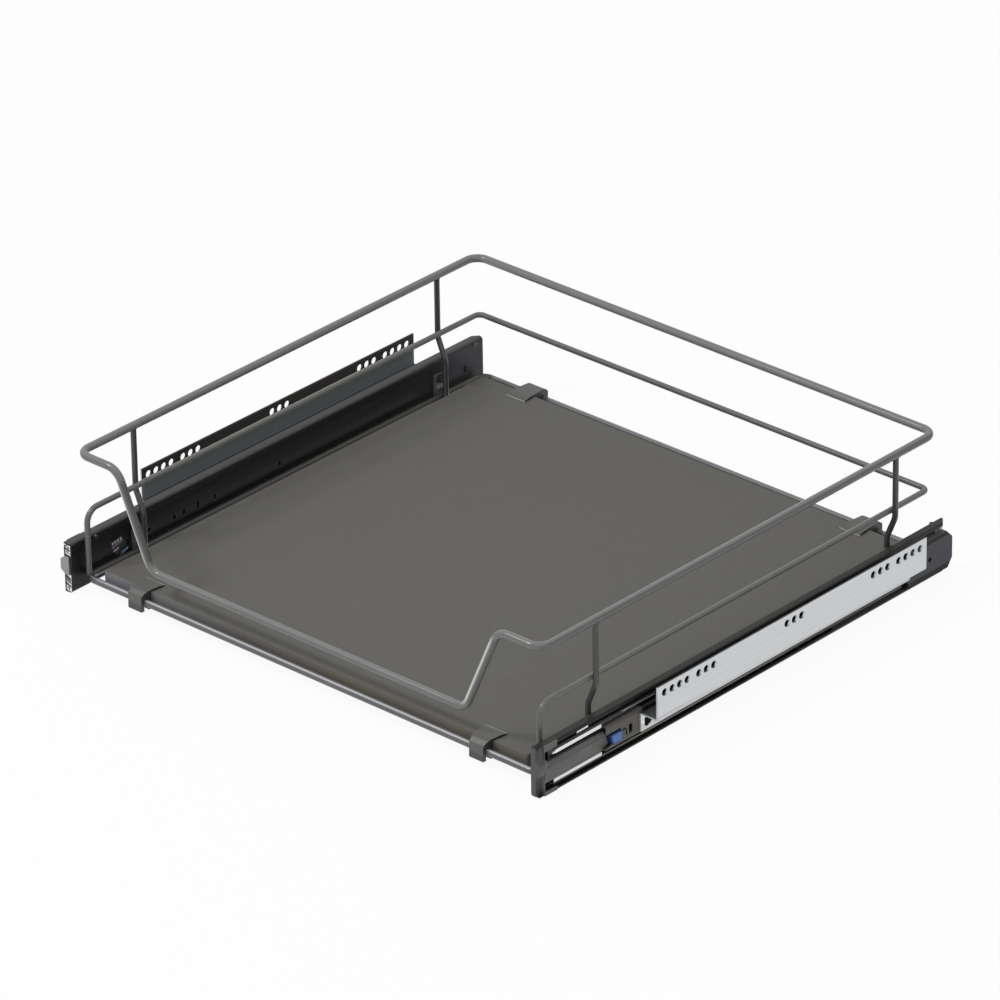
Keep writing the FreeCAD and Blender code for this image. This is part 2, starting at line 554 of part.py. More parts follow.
def panel_clip(label, across, wire_y, edge_y):
    """Snap clip: grips a ring wire and holds the panel edge between its jaws."""
    body = new_body(label)
    inward = 1 if edge_y > wire_y else -1
    grip = size("ring_wire") / 2 + size("clip_play")
    nose = grip + size("clip_wall")
    edge = abs(edge_y - wire_y)
    tip = edge + size("clip_reach")
    top = panel_top - ring_z
    under = panel_bottom - ring_z
    jaw = under - size("clip_tongue")
    crown = top + size("clip_tongue")
    mouth = grip - size("clip_snap")
    mouth_top = -math.sqrt(grip ** 2 - mouth ** 2)
    leg = grip + size("clip_leg")
    foot = -nose - size("clip_leg_drop")
    jaw_tip = tip - size("clip_jaw_setback")
    brow = crown - size("clip_shoulder_drop")
    rim = size("clip_shoulder") * (top - brow) / (crown - brow) - nose
    tongue = [(size("clip_shoulder") - nose, crown), (tip - size("clip_tip"), crown + size("clip_crown")),
              (tip, top + size("clip_tip_height")), (tip, top)]
    jaws = [(edge, top), (edge, under), (jaw_tip, under), (jaw_tip, jaw), (leg, jaw)]
    legs = [(leg, foot), (mouth, foot), (mouth, mouth_top), (-mouth, mouth_top), (-mouth, foot),
            (-nose, foot)]
    block = sketch_on(body, "YZ_Plane", label + "_block", -size("clip_block_width") / 2)
    outline(block, [(inward * y, z) for y, z in [(-nose, brow)] + tongue + jaws + legs])
    pad(body, block, "Sizes.clip_block_width")
    plate = sketch_on(body, "YZ_Plane", label + "_plate", -size("clip_width") / 2)
    outline(plate, [(inward * y, z) for y, z in [(rim, top)] + tongue])
    pad(body, plate, "Sizes.clip_width")
    bore = sketch_on(body, "YZ_Plane", label + "_bore", -size("clip_width") / 2)
    circle(bore, 0, 0, "Sizes.ring_wire + 2 * Sizes.clip_play")
    pocket(body, bore, "Sizes.clip_width", True)
    body.Placement = Placement(Vector(across, wire_y, ring_z), Rotation())


def frame_tab(label, side, along):
    body = new_body(label)
    face = sketch_on(body, "YZ_Plane", label + "_face")
    half = size("tab_width") / 2
    low, high = size("tab_foot"), size("tab_foot") + size("tab_height")
    corners = [(-half, low), (half, low), (half, high), (-half, high)]
    outline(face, corners, [size("tab_corner")] * 4)
    pad(body, face, "Sizes.tab_sheet", side > 0)
    doc.recompute()
    hole = sketch_on(body, "YZ_Plane", label + "_hole")
    circle(hole, 0, size("screw_height"), "Sizes.screw_shank + 2 * Sizes.rivet_play")
    pocket(body, hole, "Sizes.tab_sheet", side < 0)
    body.Placement = Placement(Vector(side * rail_back, along, 0), Rotation())


def turned(radii_and_ends, start, axis):
    """Stack of cylinders along an axis: (radius, length) from the start."""
    solid = None
    place_at = start
    for radius, length in radii_and_ends:
        step = Part.makeCylinder(radius, length, place_at, axis)
        solid = step if solid is None else solid.fuse(step)
        place_at = place_at + axis * length
    return solid.removeSplitter()


def group(label, shapes):
    feature = keep(doc.addObject("Part::Feature", label), label)
    feature.Shape = Part.makeCompound(shapes) if len(shapes) > 1 else shapes[0]
    feature.Placement = Placement()
    return feature


def frame_screws():
    screws = []
    reach = size("tab_sheet") + sheet_t + size("race_clearance")
    for _, side in SIDES:
        for along in (front_hoop_y, rear_hoop_y):
            start = Vector(side * (rail_back - size("tab_sheet") - size("screw_head_height")),
                           along, size("screw_height"))
            head = (size("screw_head") / 2, size("screw_head_height"))
            shank = (size("screw_shank") / 2, reach)
            screws.append(turned([head, shank], start, Vector(side, 0, 0)))
    group("frame_screws", screws)


# Slide sections are drawn with u outward from the drawer rail back and the
# height measured from the slide axis, then swept along the rail.
def swept_rail(label, side, path, bends, thickness, front, length_formula):
    body = new_body(label)
    section = sketch_on(body, "XZ_Plane", label + "_section")
    corners, radii = folded(path, bends, thickness)
    outline(section, [(side * u, w) for u, w in corners], radii)
    pad(body, section, length_formula, True)
    body.Placement = Placement(Vector(side * rail_back, front, slide_axis), Rotation())
    doc.recompute()
    return body


def web_cut(body, side, name, at_u, draw, depth):
    """Cut through a rail web. The drawing is in rail length and height."""
    sketch = sketch_on(body, "YZ_Plane", name, side * at_u)
    draw(sketch)
    pocket(body, sketch, depth, side > 0)


def drawer_rail(name, side):
    middle = sheet_t / 2
    lip_u = size("rail_depth") - middle
    flange = slide_axis - middle
    lip = slide_axis - size("drawer_lip")
    path = [(lip_u, lip), (lip_u, flange), (middle, flange),
            (middle, -flange), (lip_u, -flange), (lip_u, -lip)]
    bends = [size("lip_bend"), size("rail_bend"), size("rail_bend"), size("lip_bend")]
    body = swept_rail(name + "_drawer_rail", side, path, bends, sheet_t, rail_front,
                      "Sizes.slide_length")

    def web_openings(sketch):
        slot_wide, slot_high = size("web_slot_width"), size("web_slot_length")
        for slot in ("first_slot", "second_slot", "third_slot", "fourth_slot", "fifth_slot"):
            slot_outline(sketch, size(slot), 0, slot_wide, slot_high)
        slot_outline(sketch, size("slide_length") - size("rear_slot"), 0, slot_wide, slot_high)
        circle(sketch, size("web_hole_setback"), 0, "Sizes.web_hole")
        circle(sketch, size("high_hole_setback"), size("high_hole_rise"), "Sizes.web_slot_width")
        slot_outline(sketch, size("window_setback") + size("window_length") / 2,
                     -size("window_drop"), size("window_length"), size("window_height"),
                     "window_rounding")
        for along in (front_hoop_y, rear_hoop_y):
            circle(sketch, along - rail_front, size("screw_height") - slide_axis,
                   "Sizes.screw_shank + 2 * Sizes.rivet_play")
        circle(sketch, size("slide_length") - size("catch_pin_inset"), size("catch_pin_rise"),
               "Sizes.catch_pin + 2 * Sizes.rivet_play")

    web_cut(body, side, name + "_rail_openings", -cut_clear, web_openings,
            "Sizes.rail_sheet + 2 * Sizes.cut_clear")

    ends = sketch_on(body, "XY_Plane", name + "_rail_ends", -slide_axis - cut_clear)
    far = size("rail_depth") + cut_clear
    length = size("slide_length")
    relief_u = size("rail_depth") - sheet_t - size("lip_relief_bite")
    outline(ends, [(side * far, length + cut_clear), (side * size("end_cut_start"), length + cut_clear),
                   (side * far, length - size("rail_end_cut"))])
    outline(ends, [(side * far, -cut_clear), (side * relief_u, -cut_clear),
                   (side * relief_u, size("lip_relief")), (side * far, size("lip_relief"))])
    pocket(body, ends, "Sizes.slide_height + 2 * Sizes.cut_clear", True)


def middle_rail(name, side):
    middle = sheet_t / 2
    lip_u = size("rail_depth") - middle
    flange = middle_half - middle
    lip = middle_half - size("middle_lip")
    web = middle_web + middle
    path = [(lip_u, lip), (lip_u, flange), (web, flange),
            (web, -flange), (lip_u, -flange), (lip_u, -lip)]
    bends = [size("lip_bend"), size("lip_bend"), size("lip_bend"), size("lip_bend")]
    length = ("Sizes.slide_length - Sizes.middle_setback - Sizes.housing_length"
              " + Sizes.housing_overhang - Sizes.middle_rear_gap")
    body = swept_rail(name + "_middle_rail", side, path, bends, sheet_t, middle_front, length)

    def windows(sketch):
        start = size("window_setback") - size("middle_setback")
        slot_outline(sketch, start + size("window_length") / 2, -size("window_drop"),
                     size("window_length") + size("window_room_along"),
                     size("window_height") + size("window_room_high"), "window_rounding")
        for index in range(int(size("oval_count"))):
            slot_outline(sketch, size("oval_first") + index * size("oval_pitch"), 0,
                         size("oval_length"), size("oval_height"))

    web_cut(body, side, name + "_middle_windows", middle_web - cut_clear, windows,
            "Sizes.rail_sheet + 2 * Sizes.cut_clear")


def cabinet_rail(name, side):
    middle = sheet_t / 2
    web = size("slide_thickness") - middle
    flange = cabinet_half - middle
    tip = size("cabinet_flange_gap")
    path = [(tip, flange), (web, flange), (web, -flange), (tip, -flange)]
    length = ("Sizes.slide_length - Sizes.cabinet_setback - Sizes.housing_length"
              " + Sizes.housing_overhang")
    body = swept_rail(name + "_cabinet_rail", side, path, [size("rail_bend")] * 2, sheet_t,
                      cabinet_front, length)

    def openings(sketch):
        end, corner = size("notch_length"), size("notch_corner")
        toe = cabinet_floor + size("notch_toe_lift")
        sill = cabinet_floor + size("notch_lift")
        top = cabinet_floor + size("lever_floor_gap") + size("lever_height") + size("lever_travel_room")
        outline(sketch, [(-cut_clear, toe), (size("notch_ramp"), sill), (end, sill),
                         (end, top), (-cut_clear, top)], [0, 0, corner, corner, 0])
        slot_outline(sketch, size("cabinet_slot_setback"), -size("cabinet_slot_drop"),
                     size("cabinet_slot_width"), size("cabinet_slot_length"), "window_rounding")
        tool_hole(sketch, cabinet_front)
        for along in rivet_places():
            circle(sketch, along - cabinet_front, 0, "Sizes.rivet_shank + 2 * Sizes.rivet_play")
        circle(sketch, size("lever_setback"), lever_pivot_height(),
               "Sizes.pivot_pin + 2 * Sizes.rivet_play")

    web_cut(body, side, name + "_cabinet_openings", size("slide_thickness") - sheet_t - cut_clear,
            openings, "Sizes.rail_sheet + 2 * Sizes.cut_clear")


def tool_hole(sketch, rail_start):
    slot_outline(sketch, bracket_front + size("tool_hole_setback") - rail_start,
                 -size("tool_hole_drop"), size("tool_hole_length"), size("tool_hole_height"))


def rivet_places():
    front = bracket_front + size("front_rivet")
    rear = housing_front - size("rear_rivet")
    return (front, (front + rear) / 2, rear)


def cage(label, side, web, half, setback, length, balls, ball):
    body = new_body(label)
    thick = size("cage_sheet")
    middle = thick / 2
    tip = size("rail_depth") - size("cage_tip_gap")
    path = [(tip, half), (web + middle, half), (web + middle, -half), (tip, -half)]
    corners, radii = folded(path, [size("cage_bend")] * 2, thick)
    section = sketch_on(body, "XZ_Plane", label + "_section")
    outline(section, [(side * u, w) for u, w in corners], radii)
    pad(body, section, "Sizes." + length, True)
    body.Placement = Placement(Vector(side * rail_back, rail_front + size(setback), slide_axis),
                               Rotation())
    doc.recompute()
    reach = size(ball) / 2 + size("pocket_play")
    for edge, base in (("lower", -half - reach), ("upper", half - reach)):
        pockets = sketch_on(body, "XY_Plane", "%s_%s_pockets" % (label, edge), base)
        for along in ball_places(size(length), balls):
            circle(pockets, side * size("ball_line"), along,
                   "Sizes.%s + 2 * Sizes.pocket_play" % ball)
        pocket(body, pockets, "Sizes.%s + 2 * Sizes.pocket_play" % ball, True)
    relief = sketch_on(body, "YZ_Plane", label + "_relief", side * (web - cut_clear))
    for along in ball_places(size(length), balls)[1::2]:
        slot_outline(relief, along, 0, size("relief_length"), half)
    pocket(body, relief, "Sizes.cage_sheet + 2 * Sizes.cut_clear", side > 0)


def ball_places(length, balls):
    count = int(size(balls))
    first = length / 2 - (count - 1) * size("ball_pitch") / 2
    return [first + index * size("ball_pitch") for index in range(count)]


def ball_rows(label, side, rise, setback, length, balls, ball):
    centre_x = side * (rail_back + size("ball_line"))
    start = rail_front + size(setback)
    shapes = []
    for along in ball_places(size(length), balls):
        for height in (slide_axis - rise, slide_axis + rise):
            shapes.append(Part.makeSphere(size(ball) / 2, Vector(centre_x, start + along, height)))
    group(label, shapes)


def front_cap(name, side):
    """Plastic end cap of the drawer rail, with a tongue down the middle rail."""
    body = new_body(name + "_front_cap")
    cap_block(body, name, side)
    cap_nose(body, name, side)
    cap_arms(body, name, side)
    cap_tongue(body, name, side)
    body.Placement = Placement(Vector(side * rail_back, rail_front - size("cap_overhang"), slide_axis),
                               Rotation())


def cap_block(body, name, side):
    block = sketch_on(body, "XZ_Plane", name + "_cap_block")
    play = size("race_clearance")
    step, bend, edge = size("cap_step"), size("cap_corner"), size("cap_edge")
    inner, outer = sheet_t + play, size("rail_depth") - size("cap_play")
    tall = outer_race - play
    upper = [(outer, tall - step), (outer - step, tall - step), (outer - step, tall), (inner, tall)]
    lower = [(u, -w) for u, w in upper[::-1]]
    outline(block, [(side * u, w) for u, w in lower + upper], [bend, 0, 0, edge, edge, 0, 0, bend])
    pad(body, block, "Sizes.cap_length", True)


def cap_nose(body, name, side):
    nose = sketch_on(body, "XZ_Plane", name + "_cap_nose")
    half = size("cap_nose") / 2
    near, far = size("cap_nose_start"), size("rail_depth") + size("cap_nose_reach")
    edge, corner = size("cap_edge"), size("cap_nose_corner")
    outline(nose, [(side * near, -half), (side * far, -half), (side * far, half), (side * near, half)],
            [edge, corner, corner, edge])
    pad(body, nose, "Sizes.cap_length + Sizes.cap_nose_length", True)


def cap_arms(body, name, side):
    """Arms that stand in for the rail lips where these are cut away."""
    arms = sketch_on(body, "XZ_Plane", name + "_cap_arms", -size("cap_length") + size("tongue_root"))
    far = size("rail_depth") - size("cap_play")
    near = far - size("arm_sheet")
    high = slide_axis - size("arm_edge_gap")
    upper = (middle_half + size("arm_middle_gap"), high)
    lower = (-high, size("lower_arm_height") - high)
    for low_w, high_w in (upper, lower):
        corners = [(near, low_w), (far, low_w), (far, high_w), (near, high_w)]
        outline(arms, [(side * u, w) for u, w in corners])
    pad(body, arms, "Sizes.cap_overhang + Sizes.lip_relief - Sizes.arm_play - Sizes.cap_length"
                    " + Sizes.tongue_root", True)


def cap_tongue(body, name, side):
    channel = middle_web + sheet_t + size("channel_play")
    face = size("rail_depth") - size("tongue_face_gap")
    tongue = sketch_on(body, "YZ_Plane", name + "_cap_tongue", side * channel)
    top = size("tongue_rise")
    low = top - size("tongue_height")
    root = size("cap_length") - size("tongue_root")
    tip = cabinet_front + size("tongue_tip_reach") - (rail_front - size("cap_overhang"))
    outline(tongue, [(root, low), (tip - size("tongue_point"), low),
                     (tip - size("tongue_chin"), low + size("tongue_chin_rise")),
                     (tip, low + size("tongue_tip_rise")), (tip - size("tongue_brow"), top), (root, top)])
    beam = body.newObject("PartDesign::Pad", name + "_cap_beam")
    beam.Profile = tongue
    beam.Length = face - channel
    beam.Reversed = side < 0
    doc.recompute()
    start = size("cap_length") + size("groove_setback")
    ridge = top - size("ridge_height")
    slope = sketch_on(body, "XZ_Plane", name + "_cap_slope", -start)
    crest = face - size("ridge_slope")
    outline(slope, [(side * crest, top), (side * face, ridge), (side * (face + cut_clear), ridge),
                    (side * (face + cut_clear), top + cut_clear), (side * crest, top + cut_clear)])
    pocket(body, slope, "Sizes.slide_length")
    groove = sketch_on(body, "YZ_Plane", name + "_cap_groove", side * face)
    end = tip - size("groove_end_gap")
    outline(groove, [(start, ridge - size("groove_height")), (end, ridge - size("groove_height")),
                     (end, ridge), (start, ridge)])
    pocket(body, groove, "Sizes.groove_depth", side < 0)


def release_lever(name, side):
    """Sprung lever that frees the cabinet rail from the front of the slide."""
    body = new_body(name + "_release_lever")
    pivot = lever_pivot_height()
    floor = cabinet_floor + size("lever_floor_gap") - pivot
    top = floor + size("lever_height")
    front = size("lever_front_gap") - size("lever_setback")
    lean = size("lever_front_slope")
    hub_front, hub_rear = -size("lever_hub_front"), size("lever_hub_rear")
    hub_top = top + size("lever_hub_rise")
    edge, hub_corner = size("lever_edge"), size("lever_hub_corner")
    profile = sketch_on(body, "YZ_Plane", name + "_lever_profile")
    outline(profile, [(front + lean, floor), (hub_rear, floor), (hub_rear, hub_top), (hub_front, hub_top),
                      (hub_front, top), (front, top)], [edge, hub_corner, hub_corner, edge, 0, edge])
    pad(body, profile, "Sizes.lever_width", side < 0)
    doc.recompute()
    tab = sketch_on(body, "YZ_Plane", name + "_lever_tab", side * size("lever_width"))
    near = front + size("lever_tab_inset")
    far = near + size("lever_tab_length")
    low = floor + size("lever_tab_lift")
    foot = near + lean * (top - low) / size("lever_height")
    outline(tab, [(foot, low), (far, low), (far, top), (near, top)], [edge] * 4)
    pad(body, tab, "Sizes.lever_tab_reach", side < 0)
    doc.recompute()
    bore = sketch_on(body, "YZ_Plane", name + "_lever_bore", 0.0)
    circle(bore, 0, 0, "Sizes.pivot_pin + 2 * Sizes.rivet_play")
    pocket(body, bore, "Sizes.lever_width + Sizes.lever_tab_reach + Sizes.cut_clear", side > 0)
    start = size("slide_thickness") - sheet_t - size("catch_play") - size("lever_width")
    body.Placement = Placement(Vector(side * (rail_back + start), cabinet_front + size("lever_setback"),
                                      slide_axis + pivot), Rotation())


def lever_pivot_height():
    """Lever pin above the slide axis."""
    return cabinet_floor + size("lever_pin_rise")


def lever_pin(name, side):
    length = sheet_t + size("catch_play") + size("lever_width") + size("lever_pin_reach")
    start = Vector(side * (rail_back + size("slide_thickness") - length),
                   cabinet_front + size("lever_setback"), slide_axis + lever_pivot_height())
    pin = Part.makeCylinder(size("pivot_pin") / 2, length, start, Vector(side, 0, 0))
    group(name + "_lever_pin", [pin])


def wall_bracket(name, side):
    thick = size("bracket_sheet")
    middle = thick / 2
    near = size("slide_thickness") + middle
    far = size("slide_thickness") + size("bracket_reach") - middle
    ledge = size("bracket_step") - middle
    path = [(near, -size("bracket_drop")), (near, ledge), (far, ledge), (far, size("bracket_rise"))]
    length = ("Sizes.slide_length - Sizes.cabinet_setback - Sizes.bracket_setback"
              " - Sizes.housing_length + Sizes.housing_overhang")
    body = swept_rail(name + "_wall_bracket", side, path, [size("bracket_bend")] * 2, thick,
                      bracket_front, length)

    def wall_holes(sketch):
        height = size("bracket_rise") - size("bracket_hole_edge")
        end, following = size("end_group_offset"), size("next_group_offset")
        many, few = size("end_group_holes"), size("inner_group_holes")
        groups = ((end, many), (following, few), (bracket_length / 2, few),
                  (bracket_length - following, few), (bracket_length - end, many))
        for centre, count in groups:
            for index in range(int(count)):
                along = centre + (index - (count - 1) / 2) * size("bracket_hole_pitch")
                circle(sketch, along, height, "Sizes.bracket_hole")

    def rivet_holes(sketch):
        for along in rivet_places():
            circle(sketch, along - bracket_front, 0, "Sizes.rivet_shank + 2 * Sizes.rivet_play")
        tool_hole(sketch, bracket_front)

    web_cut(body, side, name + "_wall_holes", far - thick, wall_holes, "2 * Sizes.bracket_sheet")
    web_cut(body, side, name + "_rivet_holes", near - thick, rivet_holes, "2 * Sizes.bracket_sheet")


def bracket_rivets():
    rivets = []
    grip = sheet_t + size("bracket_sheet")
    tall = size("rivet_head_height")
    for _, side in SIDES:
        for along in rivet_places():
            inner = rail_back + size("slide_thickness") - sheet_t
            start = Vector(side * (inner - tall), along, slide_axis)
            steps = [(size("rivet_tail") / 2, tall), (size("rivet_shank") / 2, grip),
                     (size("rivet_head") / 2, tall)]
            rivets.append(turned(steps, start, Vector(side, 0, 0)))
    group("bracket_rivets", rivets)


# Soft-close unit: a housing on the cabinet rail's rear end with damper, spring
# and the catch that takes the pin on the drawer rail. Heights are from the slide
# axis and lengths from the housing front.
def housing_levels():
    low = -size("housing_drop")
    high = low + size("housing_height")
    shelf = low + size("housing_wall") + size("damper_diameter") + size("damper_room")
    return low, high, shelf


def housing_side():
    """Side view of the housing and of its cover."""
    low, high, _ = housing_levels()
    length, cut = size("housing_length"), size("housing_chamfer")
    corners = [(0, low), (length - size("housing_toe"), low), (length, low + cut), (length, high - cut),
               (length - cut, high), (0, high)]
    return corners, [size("housing_corner")] * len(corners)


def housing_shell(body, name, side):
    profile = sketch_on(body, "YZ_Plane", name + "_housing_profile", side * cover_outer)
    outline(profile, *housing_side())
    shell = body.newObject("PartDesign::Pad", name + "_housing_shell")
    shell.Profile = profile
    shell.Length = size("slide_thickness") - cover_outer
    shell.Reversed = side < 0
    doc.recompute()


def housing_bays(body, name, side):
    """Damper bay below and catch bay above, open towards the cover."""
    low, high, shelf = housing_levels()
    wall, length, cut = size("housing_wall"), size("housing_length"), size("housing_chamfer")
    hollow = sketch_on(body, "YZ_Plane", name + "_housing_hollow", side * cover_outer)
    lower_end = length - size("housing_toe") - wall
    outline(hollow, [(wall, low + wall), (lower_end, low + wall), (lower_end, shelf), (wall, shelf)])
    outline(hollow, [(wall, shelf + wall), (length - wall, shelf + wall),
                     (length - wall, high - cut - wall), (length - cut, high - wall), (wall, high - wall)])
    inside = body.newObject("PartDesign::Pocket", name + "_housing_inside")
    inside.Profile = hollow
    inside.Length = size("slide_thickness") - cover_outer - wall
    inside.Reversed = side > 0
    doc.recompute()
    slot = sketch_on(body, "XY_Plane", name + "_housing_slot", high - cut - wall)
    centre = side * catch_middle()
    half = size("catch_width") / 2 + size("catch_play")
    front, rear = catch_span()
    outline(slot, [(centre - half, front), (centre + half, front), (centre + half, rear),
                   (centre - half, rear)])
    pocket(body, slot, "Sizes.housing_wall + Sizes.housing_chamfer + Sizes.cut_clear", True)


def housing_lug(body, name, side):
    """Lug inside the cabinet rail, and the holes through the housing side."""
    back = size("slide_thickness")
    joint = sketch_on(body, "YZ_Plane", name + "_housing_joint",
                      side * (back - sheet_t - size("race_clearance")))
    half = -cabinet_floor - size("lug_play")
    start, end = -size("lug_length"), size("housing_wall") / 2
    outline(joint, [(start, -half), (end, -half), (end, half), (start, half)])
    pad(body, joint, "Sizes.lug_depth", side > 0)
    doc.recompute()
    hole = sketch_on(body, "YZ_Plane", name + "_housing_hole", side * (back + cut_clear))
    circle(hole, rivet_places()[2] - housing_front, 0, "Sizes.rivet_tail + 4 * Sizes.rivet_play")
    circle(hole, size("adjust_setback"), -size("adjust_drop"), "Sizes.adjust_hole")
    pocket(body, hole, "Sizes.slide_thickness", side < 0)


def soft_close_housing(name, side):
    body = new_body(name + "_soft_close_housing")
    housing_shell(body, name, side)
    housing_bays(body, name, side)
    body.Placement = Placement(Vector(side * rail_back, housing_front, slide_axis), Rotation())
    doc.recompute()
    housing_lug(body, name, side)


def catch_middle():
    """Middle of the catch from the drawer rail back."""
    return cover_outer + size("catch_gap") + size("catch_width") / 2


def catch_pin_y():
    return rail_rear - size("catch_pin_inset")


def catch_span():
    """Housing slot from the front of the catch to where its horn tips back."""
    front = catch_pin_y() - housing_front - size("catch_lead")
    return front, front + size("catch_length") + size("catch_tip_room")


def catch_horn():
    """Front face of the horn, just behind the pin, from the housing front."""
    return catch_pin_y() - housing_front + size("catch_pin") / 2 + size("catch_play")


def soft_close_cover(name, side):
    body = new_body(name + "_soft_close_cover")
    plate = sketch_on(body, "YZ_Plane", name + "_cover_plate")
    outline(plate, *housing_side())
    pad(body, plate, "Sizes.cover_sheet", side < 0)
    body.Placement = Placement(Vector(side * (rail_back + cover_inner), housing_front, slide_axis),
                               Rotation())


def damper(name, side):
    low, _, shelf = housing_levels()
    wall = size("housing_wall")
    centre_u = cover_outer + size("damper_diameter") / 2 + size("damper_gap")
    height = slide_axis + (low + wall + shelf) / 2
    start = Vector(side * (rail_back + centre_u), housing_front + wall, height)
    axis = Vector(0, 1, 0)
    length = size("damper_length")
    group(name + "_damper_cylinder", [Part.makeCylinder(size("damper_diameter") / 2, length, start, axis)])
    rod_length = size("housing_length") - size("housing_toe") - 2 * wall - length
    rod = Part.makeCylinder(size("damper_rod") / 2, rod_length, start + axis * length, axis)
    group(name + "_damper_rod", [rod])


def closing_spring(name, side):
    wire = size("spring_wire")
    radius = (size("spring_diameter") - wire) / 2
    wall = size("housing_wall")
    length = catch_span()[0] - wall - wire - 2 * size("catch_play")
    start = Vector(side * (rail_back + catch_middle()), housing_front + wall + wire / 2,
                   slide_axis + size("catch_pivot_rise"))
    helix = Part.makeHelix(size("spring_pitch"), length, radius)
    ring = Part.Wire(Part.makeCircle(wire / 2, Vector(radius, 0, 0), Vector(0, 1, 0)))
    coil = Part.Wire(helix.Edges).makePipeShell([ring], True, True)
    feature = keep(doc.addObject("Part::Feature", name + "_closing_spring"), name + "_closing_spring")
    feature.Shape = coil
    feature.Placement = Placement(start, Rotation(Vector(1, 0, 0), -90))


def soft_close_catch(name, side):
    """Catch with one horn behind the pin; it tips back to let the pin in and out."""
    body = new_body(name + "_soft_close_catch")
    pivot_w = size("catch_pivot_rise")
    horn = catch_horn()
    pivot_y = horn + size("catch_pivot_setback")
    front = catch_span()[0] + size("catch_front_gap")
    heel = horn + size("catch_heel")
    foot = pivot_w - size("catch_foot")
    top = size("catch_pin_rise") + size("catch_pin") / 2
    seat = size("catch_pin_rise") - size("catch_pin") / 2 - size("catch_play") - size("catch_seat_drop")
    _, high, _ = housing_levels()
    profile = sketch_on(body, "YZ_Plane", name + "_catch_profile", -size("catch_width") / 2)
    points = [(front, foot), (heel, foot), (heel, top - size("catch_horn_slope")),
              (horn + size("catch_horn_tip"), top), (horn, top), (horn, seat),
              (front, high - size("catch_front_drop"))]
    edge, tip_edge = size("catch_edge"), size("catch_tip_edge")
    outline(profile, [(y - pivot_y, w - pivot_w) for y, w in points],
            [edge, edge, tip_edge, 0, 0, 0, tip_edge])
    pad(body, profile, "Sizes.catch_width")
    doc.recompute()
    bore = sketch_on(body, "YZ_Plane", name + "_catch_bore", -size("catch_width") / 2)
    circle(bore, 0, 0, "Sizes.pivot_pin + 2 * Sizes.rivet_play")
    pocket(body, bore, "Sizes.catch_width", True)
    body.Placement = Placement(Vector(side * (rail_back + catch_middle()), housing_front + pivot_y,
                                      slide_axis + pivot_w), Rotation())


def catch_pivot(name, side):
    length = size("slide_thickness") - size("housing_wall") - cover_outer
    start = Vector(side * (rail_back + cover_outer),
                   housing_front + catch_horn() + size("catch_pivot_setback"),
                   slide_axis + size("catch_pivot_rise"))
    pin = Part.makeCylinder(size("pivot_pin") / 2, length, start, Vector(side, 0, 0))
    group(name + "_catch_pivot", [pin])


def catch_pin(name, side):
    tall = size("catch_pin_head_height")
    start = Vector(side * (rail_back - tall), catch_pin_y(), slide_axis + size("catch_pin_rise"))
    reach = catch_middle() + size("catch_width") / 2
    steps = [(size("catch_pin_head") / 2, tall), (size("catch_pin") / 2, reach)]
    group(name + "_catch_pin", [turned(steps, start, Vector(side, 0, 0))])


def build():
    basket_top_rail()
    basket_middle_rail()
    basket_base_ring()
    basket_hoop("front_hoop", front_hoop_y)
    basket_hoop("rear_hoop", rear_hoop_y)
    base_panel()
    for name, side in SIDES:
        front_across = side * (ring_half - size("clip_inset"))
        rear_across = side * (ring_half - size("rear_clip_inset"))
        panel_clip("front_%s_panel_clip" % name, front_across, basket_front, panel_front)
        panel_clip("rear_%s_panel_clip" % name, rear_across, ring_rear, panel_rear)
        frame_tab("front_%s_frame_tab" % name, side, front_hoop_y)
        frame_tab("rear_%s_frame_tab" % name, side, rear_hoop_y)
    frame_screws()
    for name, side in SIDES:
        drawer_rail(name, side)
        front_cap(name, side)
        catch_pin(name, side)
        middle_rail(name, side)
        outer = ("outer_cage_setback", "outer_cage_length", "outer_ball_count", "outer_ball")
        inner = ("inner_cage_setback", "inner_cage_length", "inner_ball_count", "inner_ball")
        cage(name + "_outer_cage", side, outer_cage_web, outer_ball_rise, *outer)
        cage(name + "_inner_cage", side, inner_cage_web, inner_ball_rise, *inner)
        ball_rows(name + "_outer_balls", side, outer_ball_rise, *outer)
        ball_rows(name + "_inner_balls", side, inner_ball_rise, *inner)
        cabinet_rail(name, side)
        wall_bracket(name, side)
        release_lever(name, side)
        lever_pin(name, side)
        soft_close_housing(name, side)
        soft_close_cover(name, side)
        damper(name, side)
        closing_spring(name, side)
        soft_close_catch(name, side)
        catch_pivot(name, side)
    bracket_rivets()


def check():
    doc.recompute()
    for obj in doc.Objects:
        if "Invalid" in obj.State or "Error" in obj.State:
            raise RuntimeError("failed object: %s %s" % (obj.Name, obj.State))
    for part in parts:
        if part.Shape.isNull() or not part.Shape.isValid():
            raise RuntimeError("bad shape: " + part.Label)


def export():
    os.makedirs("parts", exist_ok=True)
    for part in parts:
        part.Shape.exportStep("parts/%s.step" % part.Label)
        box = part.Shape.BoundBox
        print("%-28s solids %2d volume %10.1f  x %7.1f %7.1f  y %7.1f %7.1f  z %6.1f %6.1f" % (
            part.Label, len(part.Shape.Solids), part.Shape.Volume,
            box.XMin, box.XMax, box.YMin, box.YMax, box.ZMin, box.ZMax))


build()
check()
export()
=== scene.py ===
import json
import math

import bmesh
import bpy
from mathutils import Matrix, Vector


